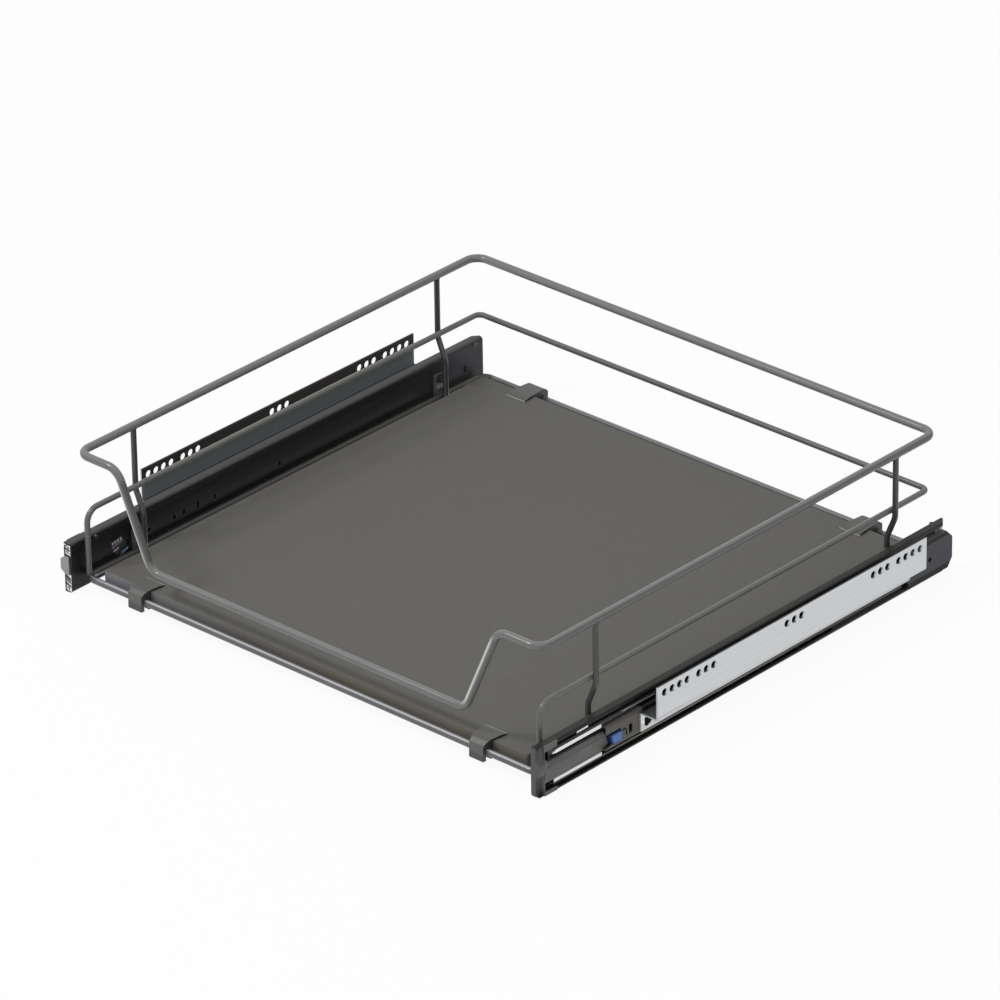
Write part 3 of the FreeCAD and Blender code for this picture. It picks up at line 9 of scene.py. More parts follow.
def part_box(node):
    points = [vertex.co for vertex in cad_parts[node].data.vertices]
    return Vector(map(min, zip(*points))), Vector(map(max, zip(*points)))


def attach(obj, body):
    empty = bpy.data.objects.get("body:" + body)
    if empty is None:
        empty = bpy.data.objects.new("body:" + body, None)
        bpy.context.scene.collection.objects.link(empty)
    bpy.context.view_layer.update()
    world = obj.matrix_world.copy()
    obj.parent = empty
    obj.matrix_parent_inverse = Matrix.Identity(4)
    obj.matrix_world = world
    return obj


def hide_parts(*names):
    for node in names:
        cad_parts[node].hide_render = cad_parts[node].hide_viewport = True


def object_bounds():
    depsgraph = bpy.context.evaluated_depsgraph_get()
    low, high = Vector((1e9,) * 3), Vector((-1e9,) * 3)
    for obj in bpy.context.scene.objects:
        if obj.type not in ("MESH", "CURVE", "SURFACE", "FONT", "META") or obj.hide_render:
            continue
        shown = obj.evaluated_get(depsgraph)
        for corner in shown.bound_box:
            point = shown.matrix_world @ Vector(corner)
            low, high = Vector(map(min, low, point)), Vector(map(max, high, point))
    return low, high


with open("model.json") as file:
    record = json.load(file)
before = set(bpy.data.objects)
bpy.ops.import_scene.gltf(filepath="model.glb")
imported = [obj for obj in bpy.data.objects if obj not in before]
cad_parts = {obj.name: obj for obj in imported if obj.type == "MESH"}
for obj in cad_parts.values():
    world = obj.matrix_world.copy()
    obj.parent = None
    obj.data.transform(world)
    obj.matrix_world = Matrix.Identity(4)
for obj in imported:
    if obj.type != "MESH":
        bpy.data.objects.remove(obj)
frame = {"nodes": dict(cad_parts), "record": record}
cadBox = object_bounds()
nodes = frame["nodes"]
mm = 0.001
leftSide, rightSide = -1.0, 1.0
sides = (("left", leftSide), ("right", rightSide))

# Directions in the drawer's frame, and a distance in millimetres that is past all its ends.
rightward, leftward = (1.0, 0.0, 0.0), (-1.0, 0.0, 0.0)
rearward, frontward = (0.0, 1.0, 0.0), (0.0, -1.0, 0.0)
upward, downward = (0.0, 0.0, 1.0), (0.0, 0.0, -1.0)
farAway = 400.0
print("frame loaded:", len(nodes), "nodes")

# Small helpers for shader trees.


def makeGroup(name, inputs, outputs):
    group = bpy.data.node_groups.new(name, "ShaderNodeTree")
    for socketName, kind, value in inputs:
        socket = group.interface.new_socket(socketName, in_out="INPUT", socket_type=kind)
        if value is not None:
            socket.default_value = value
    for socketName, kind in outputs:
        group.interface.new_socket(socketName, in_out="OUTPUT", socket_type=kind)
    start = group.nodes.new("NodeGroupInput")
    end = group.nodes.new("NodeGroupOutput")
    return group, start.outputs, end.inputs


def addNode(tree, kind, **settings):
    node = tree.nodes.new(kind)
    for key, value in settings.items():
        setattr(node, key, value)
    return node


def join(tree, source, target):
    tree.links.new(source, target)


def feed(tree, value, socket):
    # A plain number or colour is written on the socket, anything else is linked to it.
    if isinstance(value, (int, float, tuple)):
        socket.default_value = value
    else:
        join(tree, value, socket)


def mathNode(tree, operation, first, second=None, third=None, clamp=False):
    node = addNode(tree, "ShaderNodeMath", operation=operation, use_clamp=clamp)
    for socket, value in zip(node.inputs, (first, second, third)):
        if value is not None:
            feed(tree, value, socket)
    return node.outputs[0]


def noiseNode(tree, vector, scale, detail=3.0, roughness=0.55):
    node = addNode(tree, "ShaderNodeTexNoise")
    node.inputs["Detail"].default_value = detail
    node.inputs["Roughness"].default_value = roughness
    join(tree, vector, node.inputs["Vector"])
    feed(tree, scale, node.inputs["Scale"])
    return node.outputs["Fac"]


def rampNode(tree, value, low, high, fromLow=0.0, fromHigh=1.0):
    node = addNode(tree, "ShaderNodeMapRange", clamp=True)
    join(tree, value, node.inputs["Value"])
    limits = {"From Min": fromLow, "From Max": fromHigh, "To Min": low, "To Max": high}
    for name, number in limits.items():
        node.inputs[name].default_value = number
    return node.outputs["Result"]


def splitNode(tree, vector):
    node = addNode(tree, "ShaderNodeSeparateXYZ")
    join(tree, vector, node.inputs[0])
    return node.outputs


def mixColour(tree, mask, first, second):
    # The node has sockets for every kind of value. These are the ones for colours.
    node = addNode(tree, "ShaderNodeMix", data_type="RGBA")
    for socket, value in ((node.inputs[0], mask), (node.inputs[6], first), (node.inputs[7], second)):
        feed(tree, value, socket)
    return node.outputs[2]


# Shared shader effects. Each one is a node group that several finishes use.


def makeFineGrain():
    # Two sizes of noise as one height and one even mask, for coatings and moulded plastic.
    group, given, out = makeGroup(
        "fineGrain",
        [("Vector", "NodeSocketVector", None), ("Scale", "NodeSocketFloat", 900.0),
         ("Coarse", "NodeSocketFloat", 0.35)],
        [("Height", "NodeSocketFloat"), ("Mask", "NodeSocketFloat")])
    fine = noiseNode(group, given["Vector"], given["Scale"], detail=2.0)
    broad = noiseNode(group, given["Vector"], mathNode(group, "MULTIPLY", given["Scale"], 0.12))
    mixed = mathNode(group, "MULTIPLY_ADD", broad, given["Coarse"], fine)
    join(group, mixed, out["Height"])
    join(group, rampNode(group, broad, 0.0, 1.0, fromLow=0.3, fromHigh=0.7), out["Mask"])
    return group


def makeDrawLines():
    # Fine lines along one direction, left in sheet and wire by rolling and drawing.
    group, given, out = makeGroup(
        "drawLines",
        [("Vector", "NodeSocketVector", None), ("Stretch", "NodeSocketVector", (1.0, 0.02, 1.0)),
         ("Scale", "NodeSocketFloat", 1500.0)],
        [("Height", "NodeSocketFloat"), ("Mask", "NodeSocketFloat")])
    scaled = addNode(group, "ShaderNodeVectorMath", operation="MULTIPLY")
    join(group, given["Vector"], scaled.inputs[0])
    join(group, given["Stretch"], scaled.inputs[1])
    lines = noiseNode(group, scaled.outputs[0], given["Scale"], detail=2.0)
    bandScale = mathNode(group, "MULTIPLY", given["Scale"], 0.15)
    bands = noiseNode(group, scaled.outputs[0], bandScale, detail=2.0)
    join(group, lines, out["Height"])
    join(group, rampNode(group, bands, 0.0, 1.0, fromLow=0.3, fromHigh=0.7), out["Mask"])
    return group


def makeEdgeWearAndHighlight():
    # Rubbed edges, which also serve as painted edge highlights: where a slightly rounded normal leaves
    # the true one, broken up by a cloud.
    group, given, out = makeGroup(
        "edgeWearAndHighlight",
        [("Vector", "NodeSocketVector", None), ("Reach", "NodeSocketFloat", 0.0004),
         ("Amount", "NodeSocketFloat", 0.4)],
        [("Mask", "NodeSocketFloat")])
    rounded = addNode(group, "ShaderNodeBevel", samples=4)
    join(group, given["Reach"], rounded.inputs["Radius"])
    geometry = addNode(group, "ShaderNodeNewGeometry")
    agree = addNode(group, "ShaderNodeVectorMath", operation="DOT_PRODUCT")
    join(group, rounded.outputs["Normal"], agree.inputs[0])
    join(group, geometry.outputs["Normal"], agree.inputs[1])
    edge = rampNode(group, agree.outputs["Value"], 1.0, 0.0, fromLow=0.9, fromHigh=0.985)
    cloud = noiseNode(group, given["Vector"], 160.0, detail=4.0)
    patches = rampNode(group, cloud, 0.35, 1.0, fromLow=0.4, fromHigh=0.6)
    wornAndLitEdge = mathNode(group, "MULTIPLY", edge, patches)
    join(group, mathNode(group, "MULTIPLY", wornAndLitEdge, given["Amount"], clamp=True), out["Mask"])
    return group


def makeTopDust():
    # A thin veil of dust on faces that look up.
    group, given, out = makeGroup(
        "topDust",
        [("Vector", "NodeSocketVector", None), ("Normal", "NodeSocketVector", None),
         ("Amount", "NodeSocketFloat", 0.1)],
        [("Mask", "NodeSocketFloat")])
    level = rampNode(group, splitNode(group, given["Normal"])["Z"], 0.0, 1.0, fromLow=0.3)
    cloud = noiseNode(group, given["Vector"], 35.0, detail=5.0)
    patches = rampNode(group, cloud, 0.4, 1.0, fromLow=0.35, fromHigh=0.7)
    veil = mathNode(group, "MULTIPLY", level, patches)
    join(group, mathNode(group, "MULTIPLY", veil, given["Amount"], clamp=True), out["Mask"])
    return group


def makeInnerSide():
    # Faces that look towards the drawer's middle, on either side of it.
    group, given, out = makeGroup(
        "innerSide",
        [("Vector", "NodeSocketVector", None), ("Normal", "NodeSocketVector", None)],
        [("Mask", "NodeSocketFloat")])
    side = mathNode(group, "SIGN", splitNode(group, given["Vector"])["X"])
    inward = mathNode(group, "MULTIPLY", splitNode(group, given["Normal"])["X"], side)
    join(group, rampNode(group, inward, 1.0, 0.0, fromLow=-0.8, fromHigh=-0.3), out["Mask"])
    return group


def makeBand():
    # A soft-edged band between two places along an axis.
    group, given, out = makeGroup(
        "placeBand",
        [("Vector", "NodeSocketVector", None), ("Axis", "NodeSocketVector", (0.0, 0.0, 1.0)),
         ("Start", "NodeSocketFloat", 0.0), ("End", "NodeSocketFloat", 1.0),
         ("Soft", "NodeSocketFloat", 0.001)],
        [("Mask", "NodeSocketFloat")])
    along = addNode(group, "ShaderNodeVectorMath", operation="DOT_PRODUCT")
    join(group, given["Vector"], along.inputs[0])
    join(group, given["Axis"], along.inputs[1])
    reached = along.outputs["Value"]
    edges = []
    for first, second in ((reached, given["Start"]), (given["End"], reached)):
        past = mathNode(group, "SUBTRACT", first, second)
        share = mathNode(group, "DIVIDE", past, given["Soft"])
        edges.append(mathNode(group, "ADD", share, 0.5, clamp=True))
    join(group, mathNode(group, "MULTIPLY", edges[0], edges[1]), out["Mask"])
    return group


def makeFacing():
    # Faces that look along an axis, on one side of the drawer's middle or on both (a side of 0).
    group, given, out = makeGroup(
        "facing",
        [("Vector", "NodeSocketVector", None), ("Normal", "NodeSocketVector", None),
         ("Axis", "NodeSocketVector", (0.0, 0.0, 1.0)), ("Side", "NodeSocketFloat", 0.0)],
        [("Mask", "NodeSocketFloat")])
    along = addNode(group, "ShaderNodeVectorMath", operation="DOT_PRODUCT")
    join(group, given["Normal"], along.inputs[0])
    join(group, given["Axis"], along.inputs[1])
    looks = rampNode(group, along.outputs["Value"], 0.0, 1.0, fromLow=0.45, fromHigh=0.8)
    offset = mathNode(group, "MULTIPLY", splitNode(group, given["Vector"])["X"], given["Side"])
    onSide = mathNode(group, "GREATER_THAN", offset, -0.0001)
    join(group, mathNode(group, "MULTIPLY", looks, onSide), out["Mask"])
    return group


fineGrain = makeFineGrain()
drawLines = makeDrawLines()
edgeWearAndHighlight = makeEdgeWearAndHighlight()
topDust = makeTopDust()
innerSide = makeInnerSide()
placeBand = makeBand()
facing = makeFacing()
print("shader groups ready")


class Finish:
    # One material with its tree, shader, coordinates and tone so far at hand.
    def __init__(self, name, base, roughness, metallic=0.0, specular=0.5):
        self.material = bpy.data.materials.new(name)
        self.material.use_nodes = True
        self.tree = self.material.node_tree
        self.shader = self.tree.nodes["Principled BSDF"]
        self.coords = addNode(self.tree, "ShaderNodeTexCoord")
        self.tone = base
        values = {"Roughness": roughness, "Metallic": metallic, "Specular IOR Level": specular}
        for key, value in values.items():
            self.shader.inputs[key].default_value = value

    def place(self, group, **values):
        node = addNode(self.tree, "ShaderNodeGroup")
        node.node_tree = group
        for key, value in values.items():
            node.inputs[key].default_value = value
        for key, output in (("Vector", "Object"), ("Normal", "Normal")):
            if key in node.inputs:
                join(self.tree, self.coords.outputs[output], node.inputs[key])
        return node

    def paint(self, colour, mask):
        self.tone = mixColour(self.tree, mask, self.tone, colour)
        join(self.tree, self.tone, self.shader.inputs["Base Color"])

    def paintWhere(self, colour, places):
        # Only where the masks of all these places agree.
        mask = None
        for group, values, narrow in places:
            found = self.place(group, **values).outputs["Mask"]
            if narrow != 1.0:
                found = mathNode(self.tree, "POWER", found, narrow)
            mask = found if mask is None else mathNode(self.tree, "MULTIPLY", mask, found)
        self.paint(colour, mask)

    def gloss(self, mask, low, high):
        join(self.tree, rampNode(self.tree, mask, low, high), self.shader.inputs["Roughness"])

    def relief(self, height, distance):
        bump = addNode(self.tree, "ShaderNodeBump")
        bump.inputs["Distance"].default_value = distance
        bump.inputs["Strength"].default_value = 1.0
        join(self.tree, height, bump.inputs["Height"])
        join(self.tree, bump.outputs["Normal"], self.shader.inputs["Normal"])


def rgb(red, green, blue):
    # A colour as it looks on screen, 0 to 255, as the shader wants it.
    def linear(value):
        share = value / 255
        return share / 12.92 if share <= 0.04045 else ((share + 0.055) / 1.055) ** 2.4
    return (linear(red), linear(green), linear(blue), 1.0)


# Places on a surface, each as a shader group, its values and how much its mask is narrowed.


def band(start, end, soft, axis=upward):
    # A stretch along an axis: its start, its end and the softness of both, in millimetres.
    return placeBand, {"Start": start * mm, "End": end * mm, "Soft": soft * mm, "Axis": axis}, 1.0


def looking(axis, side=0.0, narrow=1.0):
    # Faces that look along an axis, on one side of the drawer or on both (a side of 0). A narrow
    # above 1 keeps less of their rim, one below 1 keeps more.
    return facing, {"Axis": axis, "Side": side}, narrow


inner = (innerSide, {}, 1.0)
speckled = (fineGrain, {"Scale": 500.0}, 1.0)

# What each kind of surface has: the tone of its worn edges, which also paints highlights along them,
# how far its roughness swings, and its pattern's scale and relief where they are always the same.
skins = {
    "coat": {"wornAndLitEdge": rgb(150, 152, 154), "smoother": 0.04, "rougher": 0.05},
    "metal": {"wornAndLitEdge": rgb(228, 229, 231), "smoother": 0.05, "rougher": 0.07,
              "scale": 1500.0, "relief": 0.00001},
    "plastic": {"wornAndLitEdge": rgb(176, 177, 178), "smoother": 0.06, "rougher": 0.06,
                "scale": 1600.0, "relief": 0.00002},
}
dustTone = rgb(190, 186, 178)


def dress(finish, kind, pattern, light, roughness, wearAndHighlight, relief, dust=0.0):
    # The pattern's lighter patches, worn edges that also carry painted highlights, and dust. The pattern
    # also steers gloss and relief.
    skin = skins[kind]
    finish.paint(light, pattern.outputs["Mask"])
    if wearAndHighlight > 0:
        finish.paint(skin["wornAndLitEdge"], finish.place(edgeWearAndHighlight, Amount=wearAndHighlight).outputs["Mask"])
    if dust > 0:
        finish.paint(dustTone, finish.place(topDust, Amount=dust).outputs["Mask"])
    finish.gloss(pattern.outputs["Mask"], roughness - skin["smoother"], roughness + skin["rougher"])
    finish.relief(pattern.outputs["Height"], relief)
    return finish


def coated(name, base, light, roughness, grain, wearAndHighlight, dust, relief, specular=0.5):
    # Powder coat or foil: soft pebble, faint cloud of tone, rubbed edges that also carry painted
    # highlights, and a little dust.
    finish = Finish(name, base, roughness, specular=specular)
    pattern = finish.place(fineGrain, Scale=grain)
    return dress(finish, "coat", pattern, light, roughness, wearAndHighlight, relief, dust)


def sheetMetal(name, base, light, roughness, metallic=1.0, specular=0.5, stretch=(1.0, 0.02, 1.0),
               wearAndHighlight=0.3):
    # Rolled or drawn metal: lines along its length, and lighter edges that are partly wear and partly
    # painted highlight.
    finish = Finish(name, base, roughness, metallic, specular)
    pattern = finish.place(drawLines, Stretch=stretch, Scale=skins["metal"]["scale"])
    return dress(finish, "metal", pattern, light, roughness, wearAndHighlight, skins["metal"]["relief"])


def moulded(name, base, light, roughness, specular=0.4, wearAndHighlight=0.15):
    # Injection moulded plastic: fine spark texture, and slightly lighter corners that are partly wear
    # and partly painted highlight.
    finish = Finish(name, base, roughness, specular=specular)
    pattern = finish.place(fineGrain, Scale=skins["plastic"]["scale"])
    return dress(finish, "plastic", pattern, light, roughness, wearAndHighlight, skins["plastic"]["relief"])


def wireCoat(name, skin, swell, upper, lower):
    # Smooth paint over drawn wire, with painted light on its top and painted shade underneath.
    finish = coated(name, skin, swell, 0.2, grain=260.0, wearAndHighlight=0.0, dust=0.03, relief=0.00001)
    finish.paintWhere(upper, [looking(upward)])
    finish.paintWhere(lower, [looking(downward)])
    return finish


# Each wire's material, its skin and lighter swells, and the tones of painted light on its upper side
# and painted shade on its lower side. The skins are lit and shaded copies of one powder coat: paler
# for the level rails under painted light, darker for the upright hoops under painted shade.
wireTones = {
    "basket_top_rail": ("topRailCoat", rgb(103, 102, 102), rgb(110, 109, 109), rgb(122, 121, 122),
                        rgb(52, 52, 54)),
    "basket_middle_rail": ("middleRailCoat", rgb(90, 89, 87), rgb(98, 97, 95), rgb(108, 107, 104),
                           rgb(46, 45, 44)),
    "basket_base_ring": ("baseRingCoat", rgb(86, 87, 89), rgb(94, 95, 97), rgb(126, 127, 130),
                         rgb(44, 44, 45)),
    "front_hoop": ("frontHoopCoat", rgb(60, 60, 62), rgb(68, 68, 70), rgb(76, 76, 78), rgb(40, 40, 42)),
    "rear_hoop": ("rearHoopCoat", rgb(60, 60, 63), rgb(68, 68, 71), rgb(76, 76, 79), rgb(40, 40, 42)),
    "coated_wire": ("frameTabCoat", rgb(86, 87, 89), rgb(94, 95, 97), rgb(126, 127, 130),
                    rgb(44, 44, 45)),
}
# The finish of each material slot, and of each wire by its own name.
finishes = {name: wireCoat(*tones) for name, tones in wireTones.items()}
finishes.update({
    "panel_board": coated("greyPanelFoil", rgb(97, 96, 91), rgb(102, 101, 96), 0.62, grain=1400.0,
                          wearAndHighlight=0.12, dust=0.0, relief=0.00002, specular=0.25),
    # The clips' edge setting also paints highlights along their edges.
    "clip_plastic": moulded("greyClipPlastic", rgb(88, 87, 84), rgb(95, 94, 91), 0.42, wearAndHighlight=0.45),
    "drawer_rail_steel": sheetMetal("blackRailSteel", rgb(21, 21, 22), rgb(27, 27, 28), 0.36,
                                    metallic=0.0, specular=0.2, wearAndHighlight=0.35),
    # The caps' strong edge setting paints highlights along their edges.
    "cap_plastic": moulded("greyCapPlastic", rgb(80, 80, 78), rgb(88, 88, 86), 0.42, wearAndHighlight=0.75),
    # The zinc middle rail's near-black tone is painted dark reflection, and its strong edge setting
    # paints highlights along its bends and edges.
    "middle_rail_zinc": sheetMetal("darkMiddleRail", rgb(30, 30, 31), rgb(38, 38, 39), 0.35,
                                   metallic=0.0, specular=0.4, wearAndHighlight=0.9),
    # The cages and balls sit in the shade between the rails: their near-black tone is painted shade.
    "cage_steel": sheetMetal("cageSteelPaintedShade", rgb(10, 10, 10), rgb(16, 16, 15), 0.6,
                             metallic=0.0, specular=0.05, wearAndHighlight=0.0),
    "ball_steel": sheetMetal("ballSteelPaintedShade", rgb(18, 18, 18), rgb(26, 26, 25), 0.5,
                             metallic=0.1, specular=0.1, wearAndHighlight=0.0),
    "cabinet_rail_steel": sheetMetal("darkRailSteel", rgb(78, 76, 72), rgb(86, 84, 80), 0.45,
                                     metallic=0.0, specular=0.35, wearAndHighlight=0.25),
    "bracket_zinc": sheetMetal("paleBracketZinc", rgb(212, 214, 216), rgb(221, 223, 225), 0.5,
                               metallic=0.3, specular=0.35, wearAndHighlight=0.2),
    "rivet_steel": sheetMetal("plainRivetSteel", rgb(150, 151, 152), rgb(172, 173, 175), 0.4),
    "screw_steel": sheetMetal("darkScrewSteel", rgb(70, 71, 73), rgb(84, 85, 87), 0.35, wearAndHighlight=0.5),
    "pin_steel": sheetMetal("turnedPinSteel", rgb(42, 43, 45), rgb(56, 57, 59), 0.4, metallic=0.2,
                            stretch=(0.05, 1.0, 1.0), wearAndHighlight=0.1),
    "lever_plastic": moulded("navyLeverPlastic", rgb(24, 40, 92), rgb(30, 48, 104), 0.4, wearAndHighlight=0.1),
    "housing_plastic": moulded("darkHousingPlastic", rgb(64, 65, 70), rgb(72, 73, 78), 0.5, specular=0.2),
    "catch_plastic": moulded("paleCatchPlastic", rgb(214, 215, 218), rgb(226, 227, 229), 0.45),
    "damper_metal": sheetMetal("plainDamperMetal", rgb(186, 188, 192), rgb(206, 208, 212), 0.3),
    "spring_steel": sheetMetal("darkSpringSteel", rgb(112, 113, 116), rgb(136, 137, 140), 0.35),
})
extraFinishes = {
    "whiteStrip": sheetMetal("whiteStripZincAndHighlight", rgb(236, 238, 240), rgb(246, 247, 248), 0.3, metallic=0.2),
    "blueFace": moulded("blueLeverFace", rgb(66, 110, 178), rgb(78, 122, 190), 0.42),
    "paleTab": moulded("paleTabPlasticAndHighlight", rgb(150, 153, 158), rgb(176, 179, 184), 0.45),
    "paleBlueTab": moulded("paleBlueTabPlastic", rgb(104, 138, 184), rgb(120, 152, 196), 0.45),
    "greyTab": moulded("greyTabPlastic", rgb(96, 98, 100), rgb(112, 114, 116), 0.45),
    "blackMark": moulded("blackRecessAndShade", rgb(12, 12, 14), rgb(18, 18, 20), 0.7, specular=0.05, wearAndHighlight=0.0),
}
frontDips = (band(-farAway, -228.0, 6.0, rearward), band(50.0, 117.0, 8.0))
holeWalls = (band(48.4, 55.6, 0.2), band(-134.0, 193.0, 0.2, rearward))
# What is painted on a finish in turn: a tone, and the places whose masks have to agree for it.
strokes = {
    # Painted light on the rear run where it faces forward. The front dips carry a painted highlight along
    # their left edge and painted shade on their right flank, and the right run painted shade on its
    # right-facing side.
    "basket_top_rail": [
        (rgb(122, 121, 122), band(200.0, farAway, 10.0, rearward), looking(frontward)),
        (rgb(70, 69, 71), *frontDips, looking(rightward, narrow=0.4)),
        (rgb(196, 195, 192), *frontDips, looking((-0.7, -0.71, 0.0), narrow=3.0)),
        (rgb(92, 91, 91), looking(rightward, rightSide)),
    ],
    # Browner and darker along the left slide, with a thin painted highlight near the top of the front
    # run, where two wide masks overlap.
    "basket_base_ring": [
        (rgb(80, 76, 72), band(-farAway, -236.0, 3.0, rightward)),
        (rgb(238, 239, 241), looking((0.0, -0.94, 0.34)), looking((0.0, 0.34, 0.94)),
         band(-235.0, farAway, 60.0, rightward), band(-farAway, -228.0, 1.0, rearward)),
    ],
    # Bluer on the front edge's left end and browner towards its right.
    "panel_board": [
        (rgb(122, 122, 128), looking(frontward), band(-farAway, -150.0, 160.0, rightward)),
        (rgb(104, 99, 92), looking(frontward), band(-40.0, farAway, 160.0, rightward)),
    ],
    # Painted shade on the ends, the underside and the lower block, and two painted highlight rims.
    "clip_plastic": [
        *((rgb(46, 46, 46), looking(axis)) for axis in (rightward, leftward, downward)),
        (rgb(70, 70, 70), band(-farAway, 11.0, 3.0)),
        (rgb(196, 196, 192), looking(frontward), band(210.0, 222.0, 0.2, rearward)),
        (rgb(150, 150, 146), looking(upward), band(-219.5, -210.0, 0.3, rearward)),
    ],
    # Darker on the block at the very front, and lighter on the left nose.
    "cap_plastic": [
        (rgb(60, 60, 60), band(-farAway, -245.4, 0.6, rearward), speckled),
        (rgb(72, 72, 72), band(-farAway, -245.6, 0.6, rearward)),
        (rgb(142, 142, 142), looking(frontward, leftSide), band(17.0, 34.0, 1.0)),
    ],
    # Greyer towards the rear end. Painted light on the top faces, paler on the left rail than on the
    # right. The right lower lip's top carries painted light in its rear half.
    "drawer_rail_steel": [
        (rgb(52, 53, 57), band(180.0, farAway, 80.0, rearward)),
        (rgb(74, 75, 75), looking(upward, leftSide)),
        (rgb(44, 42, 40), looking(upward, rightSide)),
        (rgb(104, 100, 93), looking(upward, rightSide), band(-5.0, 4.0, 0.5),
         band(45.0, farAway, 60.0, rearward)),
    ],
    # A paler lower lip below the front half of the wall bracket.
    "middle_rail_zinc": [
        (rgb(104, 99, 90), band(5.0, 11.2, 0.6), band(-150.0, 40.0, 50.0, rearward)),
    ],
    # Painted shade where the wall bracket covers it.
    "cabinet_rail_steel": [
        (rgb(12, 12, 13), band(29.0, 60.0, 1.0), band(-133.0, 198.0, 2.0, rearward)),
    ],
    "bracket_zinc": [
        # Painted shade on the side that faces the drawer, deepening towards the top, with a painted light
        # strip just below the top band. Painted shade on the faces that look up, such as the ledge, with
        # a painted light strip on the left ledge.
        (rgb(172, 181, 184), inner),
        (rgb(112, 120, 122), inner, band(36.5, farAway, 14.0)),
        (rgb(66, 62, 59), inner, band(45.5, farAway, 1.0)),
        (rgb(142, 139, 128), inner, band(43.6, 45.4, 0.8)),
        (rgb(84, 87, 90), looking(upward)),
        (rgb(67, 71, 72), looking(upward, leftSide)),
        (rgb(124, 130, 134), looking(upward, leftSide), band(-269.0, -260.0, 2.0, rightward)),
        # The walls of the left screw holes stay in the dark.
        *((rgb(18, 18, 19), *holeWalls, looking(axis, leftSide))
          for axis in (rearward, frontward, upward, downward)),
        # The right leaf ends in a painted highlight along its lower edge, with a faint line of painted
        # shade at the fold above its front part.
        (rgb(242, 243, 244), looking(rightward, rightSide), band(20.0, 29.4, 0.5)),
        (rgb(158, 164, 176), looking(rightward, rightSide), band(-180.0, -90.0, 40.0, rearward),
         band(31.2, 31.8, 0.4)),
    ],
    # A shadowed seam under a brownish lid, and a black foot.
    "housing_plastic": [
        (rgb(17, 17, 19), band(34.6, 38.4, 0.5)),
        (rgb(92, 91, 87), looking(upward)),
        (rgb(24, 24, 25), band(-farAway, 9.0, 0.6)),
    ],
}
for finishName, layers in strokes.items():
    for colour, *places in layers:
        finishes[finishName].paintWhere(colour, places)

for part in frame["record"]["subparts"]:
    chosen = finishes.get(part["node"], finishes[part["material_slot"]])
    for holder in nodes[part["node"]].material_slots:
        holder.material = chosen.material
print("finishes on every node")

# Pieces that the frame doesn't hold. Sizes are in millimetres, places in the drawer's frame.
meshCare = {
    "sharpFrom": 35.0,        # degrees between faces from which an edge stays sharp
    "mergeWithin": 0.002,     # vertices of a copied solid that are closer become one
    "flatWithin": 1.0,        # degrees between faces of a copied solid that count as one face
    "swellStep": 2.3,         # radians of a bead's uneven swell from one point to the next
}


def smoothFaces(mesh):
    for face in mesh.polygons:
        face.use_smooth = True
    mesh.set_sharp_from_angle(angle=math.radians(meshCare["sharpFrom"]))


def makePiece(name, build, finish, body, edge=0.0):
    mesh = bpy.data.meshes.new(name)
    bmesh.ops.recalc_face_normals(build, faces=build.faces)
    build.to_mesh(mesh)
    build.free()
    piece = bpy.data.objects.new(name, mesh)
    bpy.context.scene.collection.objects.link(piece)
    mesh.materials.append(finish.material)
    if edge > 0:
        rounding = piece.modifiers.new("edges", "BEVEL")
        rounding.width = edge * mm
        rounding.segments = 2
        rounding.limit_method = "ANGLE"
    smoothFaces(mesh)
    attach(piece, body)
    return piece


def outerFace(nodeName, side):
    # How far out a node of one side reaches across the drawer.
    low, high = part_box(nodeName)
    return (high.x if side > 0 else low.x) / mm


def addPrism(build, outline, place, depth):
    # A closed outline of (along, up) pushed out from place by depth, both across the drawer.
    near = [build.verts.new((place * mm, along * mm, up * mm)) for along, up in outline]
    far = [build.verts.new(((place + depth) * mm, along * mm, up * mm)) for along, up in outline]
    build.faces.new(near)
    build.faces.new(far[::-1])
    count = len(outline)
    for index in range(count):
        following = (index + 1) % count
        build.faces.new((near[following], near[index], far[index], far[following]))


def addTube(build, path, radius, sections=8, wobble=0.0, closed=False):
    # A round bead along a list of points, with a slight uneven swell.
    points = [Vector(point) * mm for point in path]
    count = len(points)
    rings = []
    for index, point in enumerate(points):
        before = points[index - 1] if closed or index else point
        after = points[(index + 1) % count] if closed or index < count - 1 else point
        along = (after - before).normalized()
        first = along.orthogonal().normalized()
        if rings:
            first = (rings[-1][1] - along * rings[-1][1].dot(along)).normalized()
        second = along.cross(first)
        swell = radius * mm * (1 + wobble * math.sin(index * meshCare["swellStep"]))
        ring = []
        for step in range(sections):
            turn = 2 * math.pi * step / sections
            spoke = first * math.cos(turn) + second * math.sin(turn)
            ring.append(build.verts.new(point + spoke * swell))
        rings.append((ring, first))
    for index in range(count if closed else count - 1):
        here, there = rings[index][0], rings[(index + 1) % count][0]
        for step in range(sections):
            following = (step + 1) % sections
            build.faces.new((here[step], here[following], there[following], there[step]))
    if not closed:
        build.faces.new(rings[0][0][::-1])
        build.faces.new(rings[-1][0])


def copyNode(name):
    # A solid's mesh as a fresh start for a piece that stands for it.
    build = bmesh.new()
    build.from_mesh(nodes[name].data)
    bmesh.ops.remove_doubles(build, verts=build.verts, dist=meshCare["mergeWithin"] * mm)
    bmesh.ops.dissolve_limit(build, angle_limit=math.radians(meshCare["flatWithin"]),
                             verts=build.verts, edges=build.edges)
    return build


def addBlock(build, low, high):
    # A box between two corners, given in any order.
    corners = [[low[0], high[0]], [low[1], high[1]], [low[2], high[2]]]
    made = bmesh.ops.create_cube(build, size=1.0)
    for vertex in made["verts"]:
        for axis in range(3):
            near, far = sorted(corners[axis])
            vertex.co[axis] = (near if vertex.co[axis] < 0 else far) * mm
    return made["verts"]


